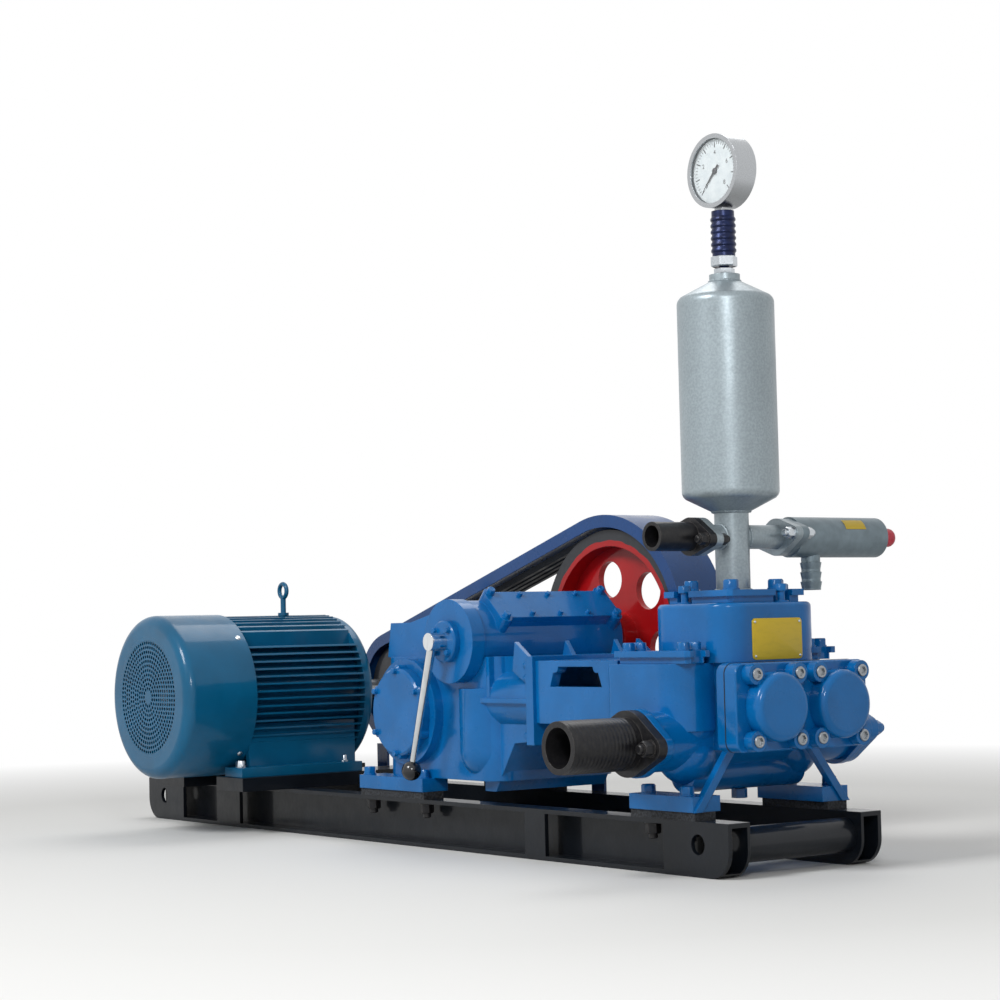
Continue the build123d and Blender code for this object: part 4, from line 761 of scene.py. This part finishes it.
class MUDPUMP_OT_front_gasket(bpy.types.Operator):
    """Lay the dark gasket between the front plate and the fluid end"""

    bl_idname = "mudpump.front_gasket"
    bl_label = "Front Gasket"

    def execute(self, context):
        low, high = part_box("front_plate")
        centre = middle("front_plate")
        half_y, half_z = (high.y - low.y) / 2, (high.z - low.z) / 2
        bm = bmesh.new()
        rings = []
        for x, proud in ((-1.6, -2.0), (-1.5, 0.5), (-0.6, 0.7), (0.3, 0.5), (0.4, -2.0)):
            outline = rounded_outline(half_y + proud * MM, half_z + proud * MM, 18 * MM)
            x_at = low.x + x * MM
            rings.append([bm.verts.new(Vector((x_at, centre.y + y, centre.z + z))) for y, z in outline])
        for first, second in zip(rings, rings[1:]):
            join_rings(bm, first, second)
        make_piece("front_gasket", bm, shared(belt_rubber))
        return {"FINISHED"}


class MUDPUMP_OT_power_end_bolts(bpy.types.Operator):
    """Fit the bolts of the crank covers, gear cover, lever boss and guide flange"""

    bl_idname = "mudpump.power_end_bolts"
    bl_label = "Power End Bolts"

    def execute(self, context):
        flats = context.scene.mudpump_sizes.case_bolt
        bm = bmesh.new()
        for name, axis in (("crank_cover_near", NEAR), ("crank_cover_far", FAR)):
            low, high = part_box(name)
            centre = middle(name)
            face = low.y if axis is NEAR else high.y
            for step in range(6):
                angle = math.radians(30 + 60 * step)
                out = Vector((math.cos(angle), 0, math.sin(angle))) * 80 * MM
                place = Vector((centre.x, face, centre.z)) + out
                add_hex_bolt(bm, place, axis, 0.62 * flats, spin=step)
        # the gear cover leans 42 degrees to the front
        lean = math.radians(42)
        normal = Vector((math.sin(lean), 0, math.cos(lean)))
        slope = Vector((math.cos(lean), 0, -math.sin(lean)))
        axle = middle("lever_boss")
        low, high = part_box("gear_case_cover")
        on_cover = Vector((axle.x, 0, axle.z)) + normal * 91 * MM
        for y in (low.y + 13 * MM, high.y - 13 * MM):
            for side in (-1, 1):
                place = on_cover + slope * side * 34 * MM + Vector((0, y, 0))
                add_hex_bolt(bm, place, normal, 0.85 * flats, spin=side + y)
        for part in (0.27, 0.5, 0.73):
            y = low.y + part * (high.y - low.y)
            for side in (-1, 1):
                place = on_cover + slope * side * 27 * MM + Vector((0, y, 0))
                add_hex_bolt(bm, place, normal, 0.5 * flats, spin=part)
        low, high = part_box("lever_boss")
        for step in range(4):
            angle = math.radians(45 + 90 * step)
            out = Vector((math.cos(angle), 0, math.sin(angle))) * 30 * MM
            add_hex_bolt(bm, Vector((axle.x, low.y, axle.z)) + out, NEAR, 0.6 * flats, spin=step)
        # the flange of the crosshead guides is bolted to the guide frame
        flange_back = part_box("guide_frame")[0].x - 22 * MM
        for side in (-1, 1):
            for z in (222, 326, 350):
                add_hex_bolt(bm, Vector((flange_back, side * 148 * MM, z * MM)), LEFT, 0.8 * flats)
        make_piece("power_end_bolts", bm, shared(cast_iron_enamel))
        return {"FINISHED"}


class MUDPUMP_OT_pipe_bolts(bpy.types.Operator):
    """Fit the studs and nuts of the suction, blind, discharge and relief flanges"""

    bl_idname = "mudpump.pipe_bolts"
    bl_label = "Pipe Flange Bolts"

    def execute(self, context):
        flats = context.scene.mudpump_sizes.cover_bolt
        pipe = middle("discharge_nipple")
        suction_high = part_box("suction_nipple")[1]
        blind = middle("suction_blind_flange")
        bright, dark, blue, piped = bmesh.new(), bmesh.new(), bmesh.new(), bmesh.new()

        def on_ears(bm, x, y, z, span, tilt, axis, size):
            lean = math.radians(tilt)
            for side in (-0.5, 0.5):
                reach = side * span * MM
                place = Vector((x + reach * math.cos(lean), y, z + reach * math.sin(lean)))
                add_stud_nut(bm, place, axis, size, spin=side)

        near_face = suction_high.y - 18 * MM
        on_ears(dark, blind.x, near_face, blind.z, 132, -5, NEAR, flats)
        on_ears(blue, blind.x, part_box("suction_blind_flange")[1].y, blind.z, 132, 5, FAR, flats)
        tee_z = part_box("relief_cap")[1].z - 17 * MM
        # both discharge flanges share the tee's height: head outside, nut inside
        nipple_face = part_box("discharge_nipple")[1].y - 15 * MM
        on_ears(piped, pipe.x, nipple_face, tee_z, 86, -8, NEAR, 0.75 * flats)
        on_ears(piped, pipe.x, nipple_face + 30 * MM, tee_z, 86, -8, FAR, 0.75 * flats)
        relief_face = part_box("relief_valve")[0].y + 15 * MM
        on_ears(bright, pipe.x, relief_face, tee_z, 86, 8, FAR, 0.75 * flats)
        on_ears(bright, pipe.x, relief_face - 30 * MM, tee_z, 86, 8, NEAR, 0.75 * flats)
        make_piece("relief_nuts", bright, shared(zinc_plate))
        make_piece("discharge_nuts", piped, shared(painted_iron_black))
        make_piece("suction_nuts", dark, shared(painted_iron_black))
        make_piece("blind_flange_nuts", blue, shared(cast_iron_enamel))
        return {"FINISHED"}


class MUDPUMP_OT_foot_bolts(bpy.types.Operator):
    """Bolt the pump's feet and the motor to the skid"""

    bl_idname = "mudpump.foot_bolts"
    bl_label = "Foot Bolts"

    def execute(self, context):
        flats = context.scene.mudpump_sizes.foot_bolt
        pad_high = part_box("foot_pads")[1]
        foot_top = pad_high.z + 26 * MM
        rail_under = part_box("near_rail")[1].z - 8 * MM
        fluid_x = middle("front_feet").x
        heads, nuts = bmesh.new(), bmesh.new()
        for side in (-1, 1):
            for x in (-78 * MM, 110 * MM, fluid_x - 50 * MM, fluid_x + 50 * MM):
                y = side * 164 * MM
                add_hex_bolt(heads, Vector((x, y, foot_top)), UP, 0.9 * flats, spin=x * 9)
                add_stud_nut(nuts, Vector((x, side * 156 * MM, rail_under)), DOWN, flats)
        motor = middle("motor_frame")
        motor_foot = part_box("motor_slide_front")[1].z + 20 * MM
        teal = bmesh.new()
        for side in (-1, 1):
            for y in (-264 * MM, -10 * MM):
                place = Vector((motor.x + side * 127 * MM, y, motor_foot))
                add_hex_bolt(teal, place, UP, 0.75 * flats, spin=side)
        make_piece("pump_foot_bolts", heads, shared(cast_iron_enamel))
        make_piece("skid_nuts", nuts, shared(painted_iron_black))
        make_piece("motor_foot_bolts", teal, shared(zinc_plate))
        return {"FINISHED"}


class MUDPUMP_OT_motor_screws(bpy.types.Operator):
    """Fit the screws of the fan cowl and end shield"""

    bl_idname = "mudpump.motor_screws"
    bl_label = "Motor Screws"

    def execute(self, context):
        centre = middle("motor_fan_cowl")
        low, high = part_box("motor_fan_cowl")
        cowl_radius = (high.x - low.x) / 2 - 0.5 * MM
        bm = bmesh.new()
        for step in range(4):
            angle = math.radians(45 + 90 * step)
            out = Vector((math.cos(angle), 0, math.sin(angle)))
            rim = Vector((centre.x, high.y - 16 * MM, centre.z)) + out * cowl_radius
            turn(bm, rim, out, [(6 * MM, -0.5 * MM, "round"), (6 * MM, 1 * MM, "round"),
                                (4 * MM, 3 * MM, "round"), (0, 3.4 * MM, "round")])
        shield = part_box("motor_end_shield")
        for step in range(4):
            angle = math.radians(45 + 90 * step)
            out = Vector((math.cos(angle), 0, math.sin(angle)))
            place = Vector((centre.x, shield[1].y - 24 * MM, centre.z)) + out * 128 * MM
            add_hex_bolt(bm, place, FAR, 13 * MM, spin=step)
        make_piece("motor_screws", bm, shared(zinc_plate))
        return {"FINISHED"}


# ---- operators: dressed parts -------------------------------------------------------------
class MUDPUMP_OT_fan_grille(bpy.types.Operator):
    """Make the motor's perforated fan grille in place of the plain one"""

    bl_idname = "mudpump.fan_grille"
    bl_label = "Fan Grille"

    def execute(self, context):
        sizes = context.scene.mudpump_sizes
        low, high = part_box("fan_grille")
        centre = middle("fan_grille")
        rim = (high.x - low.x) / 2
        front, back = low.y, low.y + 1.5 * MM
        bm = bmesh.new()

        def point(radius, angle, y):
            return Vector((centre.x + radius * math.cos(angle), y, centre.z + radius * math.sin(angle)))

        def ring_cell(inner, outer, start, end):
            """One cell of the sheet: eight points round its edge and eight round its hole."""
            mid_r, mid_a = (inner + outer) / 2, (start + end) / 2
            edge = [(outer, mid_a), (outer, end), (mid_r, end), (inner, end),
                    (inner, mid_a), (inner, start), (mid_r, start), (outer, start)]
            hole = sizes.vent_hole / 2
            faces = []
            for y in (front, back):
                sheet = [bm.verts.new(point(r, a, y)) for r, a in edge]
                round_hole = []
                for i in range(8):
                    # as round the edge: the first point faces outwards, the rest follow
                    turn_angle = mid_a + i * TAU / 8
                    offset = Vector((math.cos(turn_angle), 0, math.sin(turn_angle))) * hole
                    round_hole.append(bm.verts.new(point(mid_r, mid_a, y) + offset))
                faces.append((sheet, round_hole))
            for sheet, round_hole in faces:
                for i in range(8):
                    j = (i + 1) % 8
                    bm.faces.new((sheet[i], sheet[j], round_hole[j], round_hole[i]))
            for i in range(8):
                j = (i + 1) % 8
                bm.faces.new((faces[0][1][i], faces[0][1][j], faces[1][1][j], faces[1][1][i]))

        hub = 14 * MM
        rings = int((rim - 8 * MM - hub) / sizes.vent_pitch)
        step = (rim - 8 * MM - hub) / rings
        for ring in range(rings):
            inner, outer = hub + ring * step, hub + (ring + 1) * step
            cells = max(6, round(TAU * (inner + outer) / 2 / sizes.vent_pitch))
            for cell in range(cells):
                ring_cell(inner, outer, TAU * cell / cells, TAU * (cell + 1) / cells)
        seat = Vector((centre.x, front, centre.z))
        turn(bm, seat, NEAR, [(hub + 0.2 * MM, -1.5 * MM, "round"), (hub + 0.2 * MM, 0, "round"),
                              (0, 0.0, "round")])
        turn(bm, seat, NEAR, [(rim - 8.2 * MM, -1.5 * MM, "round"), (rim - 8.2 * MM, 0, "round"),
                              (rim, 0, "round"), (rim, -4 * MM, "round")], sides=96)
        grille = make_piece("perforated_fan_grille", bm, shared(motor_enamel))
        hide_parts("fan_grille")
        return {"FINISHED"}


class MUDPUMP_OT_ribs_and_beads(bpy.types.Operator):
    """Put the ribs on the suction nipple, barb and damper, and the weld beads on the chamber"""

    bl_idname = "mudpump.ribs_and_beads"
    bl_label = "Ribs and Weld Beads"

    def execute(self, context):
        sizes = context.scene.mudpump_sizes
        low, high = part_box("suction_nipple")
        axis = middle("suction_blind_flange")
        bm = bmesh.new()
        start = Vector((axis.x, low.y + 6 * MM, axis.z))
        add_ribs(bm, start, FAR, 44 * MM, high.y - low.y - 30 * MM, sizes.hose_rib, 0.6 * MM)
        make_piece("suction_nipple_ribs", bm, shared(painted_iron_black))

        low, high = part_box("relief_valve")
        fluid = middle("air_chamber")
        bm = bmesh.new()
        barb = Vector((fluid.x, 186 * MM, low.z + 3 * MM))
        for step in range(3):
            turn(bm, barb + UP * step * 17 * MM, UP, [
                (17.0 * MM, 0, "round"), (18.9 * MM, 10 * MM, "round"), (19.2 * MM, 12 * MM, "round"),
                (16.9 * MM, 12.5 * MM, "round")], sides=40)
        make_piece("relief_barb_rings", bm, shared(relief_paint))

        low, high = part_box("gauge_damper")
        bm = bmesh.new()
        body = high.z - 97 * MM
        start = Vector((fluid.x, fluid.y, body + 22 * MM))
        add_ribs(bm, start, UP, 20 * MM, 66 * MM, 11 * MM, 2.2 * MM)
        make_piece("damper_ribs", bm, shared(damper_anodise))
        bm = bmesh.new()
        turn(bm, Vector((fluid.x, fluid.y, body - 1 * MM)), UP, [
            (19 * MM, 0, "hex"), (20.5 * MM, 2 * MM, "hex"), (20.5 * MM, 17 * MM, "hex"),
            (19.4 * MM, 19 * MM, "round")])
        turn(bm, Vector((fluid.x, fluid.y, low.z - 0.5 * MM)), UP, [
            (15 * MM, 0, "hex"), (16 * MM, 2 * MM, "hex"), (16 * MM, 11 * MM, "hex"),
            (9 * MM, 12 * MM, "round")])
        make_piece("damper_nuts", bm, shared(zinc_plate))

        low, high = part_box("air_chamber")
        bm = bmesh.new()
        centre = Vector((fluid.x, fluid.y, 0))
        add_bead(bm, centre + UP * (high.z - 12 * MM), UP, 27 * MM, 2.2 * MM)
        add_bead(bm, centre + UP * low.z, UP, 31.5 * MM, 3.2 * MM)
        add_bead(bm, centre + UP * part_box("tower_cover")[1].z, UP, 30 * MM, 3.4 * MM)
        tee_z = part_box("relief_cap")[1].z - 17 * MM
        for y in (-29 * MM, 29 * MM):
            add_bead(bm, Vector((fluid.x, y, tee_z)), FAR, 21 * MM, 2.8 * MM)
        make_piece("chamber_weld_beads", bm, shared(aluminium_paint))
        return {"FINISHED"}


class MUDPUMP_OT_gauge_face(bpy.types.Operator):
    """Make the gauge's bezel, dial, marks, numbers, pointer and glass"""

    bl_idname = "mudpump.gauge_face"
    bl_label = "Gauge Face"

    def execute(self, context):
        marks = context.scene.mudpump_sizes.gauge_marks
        low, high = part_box("pressure_gauge")
        radius = (high.x - low.x) / 2
        centre = Vector((middle("pressure_gauge").x, low.y, high.z - radius))
        floor = centre + FAR * 9 * MM
        bm = bmesh.new()
        turn(bm, floor, NEAR, [(56.8 * MM, 0, "round"), (56.8 * MM, 0.8 * MM, "round"),
                               (0, 0.8 * MM, "round")], sides=64)
        make_piece("gauge_dial", bm, shared(dial_card))

        bm = bmesh.new()
        turn(bm, centre + FAR * 3 * MM, NEAR, [
            (radius - 0.4 * MM, -3 * MM, "round"), (radius - 0.2 * MM, 0, "round"),
            (radius - 1.5 * MM, 2.4 * MM, "round"), (radius - 4 * MM, 3 * MM, "round"),
            (radius - 7 * MM, 2.2 * MM, "round"), (radius - 8.2 * MM, 0, "round"),
            (radius - 8.2 * MM, -4 * MM, "round")], sides=96)
        make_piece("gauge_bezel", bm, shared(dark_chrome))

        ink = bmesh.new()
        face = floor + NEAR * 0.8 * MM

        def bar(inner, outer, angle, width):
            """A flat printed mark from one radius to another."""
            out = Vector((math.cos(angle), 0, math.sin(angle)))
            side = Vector((-out.z, 0, out.x)) * width / 2
            corners = [out * inner - side, out * outer - side, out * outer + side, out * inner + side]
            front = [ink.verts.new(face + NEAR * 0.25 * MM + c) for c in corners]
            back = [ink.verts.new(face - NEAR * 0.1 * MM + c) for c in corners]
            ink.faces.new(front)
            for i in range(4):
                ink.faces.new((front[i], front[(i + 1) % 4], back[(i + 1) % 4], back[i]))

        # the scale runs 270 degrees clockwise from the lower left
        sweep = math.radians(270)
        for i in range(marks * 5 + 1):
            angle = math.radians(225) - sweep * i / (marks * 5)
            long_mark = i % 5 == 0
            bar((42 if long_mark else 47) * MM, 52 * MM, angle, (1.8 if long_mark else 0.8) * MM)
        make_piece("gauge_marks", ink, shared(dial_ink))

        for i in range(0, marks + 1, 2):
            angle = math.radians(225) - sweep * i / marks
            text = bpy.data.curves.new(f"gauge_number_{i}", "FONT")
            text.body = str(i)
            text.size = 11 * MM
            text.align_x = "CENTER"
            text.align_y = "CENTER"
            text.extrude = 0.1 * MM
            number = bpy.data.objects.new(f"gauge_number_{i}", text)
            out = Vector((math.cos(angle), 0, math.sin(angle))) * 33 * MM
            number.location = face + NEAR * 0.2 * MM + out
            number.rotation_euler = (math.pi / 2, 0, 0)
            text.materials.append(shared(dial_ink))
            bpy.context.scene.collection.objects.link(number)
            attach(number, "root")

        # the pointer rests on its stop at the lower left
        bm = bmesh.new()
        tip = math.radians(225)
        out = Vector((math.cos(tip), 0, math.sin(tip)))
        side = Vector((-out.z, 0, out.x))
        outline = [out * 45 * MM, side * 2.4 * MM, out * -13 * MM + side * 2 * MM,
                   out * -13 * MM - side * 2 * MM, side * -2.4 * MM]
        front = [bm.verts.new(face + NEAR * 2.4 * MM + p) for p in outline]
        back = [bm.verts.new(face + NEAR * 1.6 * MM + p) for p in outline]
        bm.faces.new(front)
        bm.faces.new(back)
        for i in range(5):
            bm.faces.new((front[i], front[(i + 1) % 5], back[(i + 1) % 5], back[i]))
        turn(bm, face, NEAR, [(5 * MM, 0, "round"), (5 * MM, 3 * MM, "round"),
                              (3.5 * MM, 3.8 * MM, "round"), (0, 4 * MM, "round")])
        make_piece("gauge_pointer", bm, shared(dial_ink))

        bm = bmesh.new()
        turn(bm, centre + FAR * 2.6 * MM, NEAR, [
            (56.9 * MM, -1.6 * MM, "round"), (56.9 * MM, 0, "round"), (0, 0, "round"),
        ], sides=64)
        make_piece("gauge_glass", bm, shared(gauge_glass))
        return {"FINISHED"}


class MUDPUMP_OT_plain_plates(bpy.types.Operator):
    """Rivet a plain plate to the tower and fit a plain band to the relief valve"""

    bl_idname = "mudpump.plain_plates"
    bl_label = "Plain Plates"

    def execute(self, context):
        colours = context.scene.mudpump_colours
        face_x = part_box("discharge_tower")[1].x
        tower = middle("discharge_tower")
        bm = bmesh.new()
        wide, tall, round_by, thick = 57 * MM, 35 * MM, 7 * MM, 1.4 * MM
        centre = Vector((face_x, tower.y + 3 * MM, tower.z - 12 * MM))
        outline = rounded_outline(wide, tall, round_by)
        back = [bm.verts.new(centre + Vector((-0.3 * MM, y, z))) for y, z in outline]
        front = [bm.verts.new(centre + Vector((thick, y, z))) for y, z in outline]
        crown_x = thick + 0.4 * MM
        crown = [bm.verts.new(centre + Vector((crown_x, y * 0.985, z * 0.975))) for y, z in outline]
        bm.faces.new(crown)
        join_rings(bm, back, front)
        join_rings(bm, front, crown)
        make_piece("tower_plain_plate", bm, shared(plate_enamel, colours))

        bm = bmesh.new()
        for y in (-1, 1):
            for z in (-1, 1):
                place = centre + Vector((thick, y * (wide - 6 * MM), z * (tall - 6 * MM)))
                turn(bm, place, RIGHT, [(2.4 * MM, 0, "round"), (2.2 * MM, 1.2 * MM, "round"),
                                        (1.2 * MM, 1.9 * MM, "round"), (0, 2.1 * MM, "round")], sides=16)
        make_piece("plate_rivets", bm, shared(zinc_plate))

        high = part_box("relief_valve")[1]
        axle_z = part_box("relief_cap")[1].z - 17 * MM
        fluid_x = middle("air_chamber").x
        bm = bmesh.new()
        rows, columns = 9, 3
        grid = []
        for i in range(rows):
            angle = math.radians(22 + 34 * i / (rows - 1))
            line = []
            for k in range(columns):
                y = high.y - 112 * MM + 50 * MM * k / (columns - 1)
                out = Vector((math.cos(angle), 0, math.sin(angle))) * 36.5 * MM
                line.append(bm.verts.new(Vector((fluid_x, y, axle_z)) + out))
            grid.append(line)
        for i in range(rows - 1):
            for k in range(columns - 1):
                bm.faces.new((grid[i][k], grid[i][k + 1], grid[i + 1][k + 1], grid[i + 1][k]))
        make_piece("relief_plain_label", bm, shared(plate_enamel, colours))
        return {"FINISHED"}


# ---- operator: stage ----------------------------------------------------------------------
def seen_white(tree):
    """1 where the camera, a mirror or glass sees the surface, 0 for the light that it gives."""
    path = add_node(tree, "ShaderNodeLightPath")
    seen = path.outputs["Is Camera Ray"]
    for other in ("Is Glossy Ray", "Is Transmission Ray"):
        either = {0: seen, 1: path.outputs[other]}
        seen = add_node(tree, "ShaderNodeMath", either, operation="MAXIMUM").outputs[0]
    return seen


class MUDPUMP_OT_stage(bpy.types.Operator):
    """Make the floor, lamps and camera"""

    bl_idname = "mudpump.stage"
    bl_label = "Stage"

    def execute(self, context):
        stage = context.scene.mudpump_stage
        scene = context.scene
        scene.view_settings.view_transform = "Standard"
        self.make_floor(scene, stage)
        self.make_world(scene)
        self.make_lamps(scene, stage)
        self.make_camera(scene, stage)
        return {"FINISHED"}

    def make_floor(self, scene, stage):
        half = stage.floor_size / 2
        mesh = bpy.data.meshes.new("floor")
        mesh.from_pydata([(-half, -half, 0), (half, -half, 0), (half, half, 0), (-half, half, 0)],
                         [], [(0, 1, 2, 3)])
        floor = bpy.data.objects.new("floor", mesh)
        scene.collection.objects.link(floor)
        material, tree, shader = start_material("studio_floor", Roughness=0.75)
        shader.inputs["Base Color"].default_value = linear("#e6e6e4")
        # plain white away from the machine, so that floor and background meet without a line
        place = add_node(tree, "ShaderNodeTexCoord").outputs["Object"]
        reach = add_node(tree, "ShaderNodeVectorMath", {0: place}, operation="LENGTH")
        distance = reach.outputs["Value"]
        far_off = spread(tree, distance, 1.6, 3.4)
        factor = multiply(tree, seen_white(tree), far_off)
        white = add_node(tree, "ShaderNodeEmission", {"Color": (1, 1, 1, 1), "Strength": 1.0})
        blend = {0: factor, 1: shader.outputs[0], 2: white.outputs[0]}
        mix = add_node(tree, "ShaderNodeMixShader", blend)
        tree.links.new(mix.outputs[0], tree.nodes["Material Output"].inputs["Surface"])
        mesh.materials.append(material)

    def make_world(self, scene):
        world = bpy.data.worlds.new("studio")
        scene.world = world
        world.use_nodes = True
        tree = world.node_tree
        light = tree.nodes["Background"]
        light.inputs["Color"].default_value = (1, 1, 1, 1)
        light.inputs["Strength"].default_value = 0.26
        white = add_node(tree, "ShaderNodeBackground", {"Color": (1, 1, 1, 1), "Strength": 1.0})
        mix = add_node(tree, "ShaderNodeMixShader",
                       {0: seen_white(tree), 1: light.outputs[0], 2: white.outputs[0]})
        tree.links.new(mix.outputs[0], tree.nodes["World Output"].inputs["Surface"])

    def make_lamps(self, scene, stage):
        lamps = (
            ("key", Vector((0.6, -3.6, 3.4)), 1.6, stage.key_power),
            ("fill", Vector((3.6, -2.2, 1.9)), 0.8, stage.fill_power),
            ("top", Vector((-1.2, 1.4, 3.8)), 2.4, stage.fill_power),
        )
        for name, place, size, power in lamps:
            data = bpy.data.lights.new(name, "AREA")
            data.shape = "DISK"
            data.size = size
            data.energy = power
            lamp = bpy.data.objects.new(name, data)
            lamp.location = place
            aim = Vector((0.1, 0, 0.4)) - place
            lamp.rotation_euler = aim.to_track_quat("-Z", "Y").to_euler()
            scene.collection.objects.link(lamp)

    def make_camera(self, scene, stage):
        heading, pitch, roll = 0.938, 0.0553, 0.0233
        right = Vector((math.cos(heading), math.sin(heading), 0))
        ahead = Vector((
            -math.sin(heading) * math.cos(pitch),
            math.cos(heading) * math.cos(pitch),
            math.sin(pitch),
        ))
        down = ahead.cross(right)
        tilted_right = math.cos(roll) * right + math.sin(roll) * down
        tilted_down = -math.sin(roll) * right + math.cos(roll) * down
        data = bpy.data.cameras.new("camera")
        data.sensor_width = 36
        data.lens = stage.lens
        camera = bpy.data.objects.new("camera", data)
        turned = Matrix((tilted_right, -tilted_down, -ahead)).transposed().to_4x4()
        camera.matrix_world = Matrix.Translation(Vector((3.8523, -2.7077, 0.4186))) @ turned
        scene.collection.objects.link(camera)
        scene.camera = camera


# ---- panel and registration ---------------------------------------------------------------
operators = (
    MUDPUMP_OT_finish_castings,
    MUDPUMP_OT_finish_fittings,
    MUDPUMP_OT_cover_bolts,
    MUDPUMP_OT_dome_screws,
    MUDPUMP_OT_front_gasket,
    MUDPUMP_OT_power_end_bolts,
    MUDPUMP_OT_pipe_bolts,
    MUDPUMP_OT_foot_bolts,
    MUDPUMP_OT_motor_screws,
    MUDPUMP_OT_fan_grille,
    MUDPUMP_OT_ribs_and_beads,
    MUDPUMP_OT_gauge_face,
    MUDPUMP_OT_plain_plates,
    MUDPUMP_OT_stage,
)


class MUDPUMP_PT_panel(bpy.types.Panel):
    """The settings and the steps, in the order in which they run"""

    bl_idname = "MUDPUMP_PT_panel"
    bl_label = "Triplex Mud Pump"
    bl_space_type = "VIEW_3D"
    bl_region_type = "UI"
    bl_category = "Mud Pump"

    def draw(self, context):
        scene = context.scene
        for settings in (scene.mudpump_colours, scene.mudpump_sizes, scene.mudpump_stage):
            box = self.layout.box()
            for name in settings.__annotations__:
                box.prop(settings, name)
        for operator in operators:
            self.layout.operator(operator.bl_idname)


def register():
    """Registers the settings, operators and panel."""
    for group in (PumpColours, PumpSizes, PumpStage, *operators, MUDPUMP_PT_panel):
        bpy.utils.register_class(group)
    bpy.types.Scene.mudpump_colours = PointerProperty(type=PumpColours)
    bpy.types.Scene.mudpump_sizes = PointerProperty(type=PumpSizes)
    bpy.types.Scene.mudpump_stage = PointerProperty(type=PumpStage)


def unregister():
    """Takes the settings, operators and panel away again."""
    del bpy.types.Scene.mudpump_stage
    del bpy.types.Scene.mudpump_sizes
    del bpy.types.Scene.mudpump_colours
    for group in reversed((PumpColours, PumpSizes, PumpStage, *operators, MUDPUMP_PT_panel)):
        bpy.utils.unregister_class(group)


def main():
    """Runs every step in order."""
    register()
    bpy.ops.mudpump.stage()
    bpy.ops.mudpump.finish_castings()
    bpy.ops.mudpump.finish_fittings()
    bpy.ops.mudpump.cover_bolts()
    bpy.ops.mudpump.dome_screws()
    bpy.ops.mudpump.front_gasket()
    bpy.ops.mudpump.power_end_bolts()
    bpy.ops.mudpump.pipe_bolts()
    bpy.ops.mudpump.foot_bolts()
    bpy.ops.mudpump.motor_screws()
    bpy.ops.mudpump.fan_grille()
    bpy.ops.mudpump.ribs_and_beads()
    bpy.ops.mudpump.gauge_face()
    bpy.ops.mudpump.plain_plates()
    bpy.context.view_layer.update()


if __name__ == "__main__":
    main()
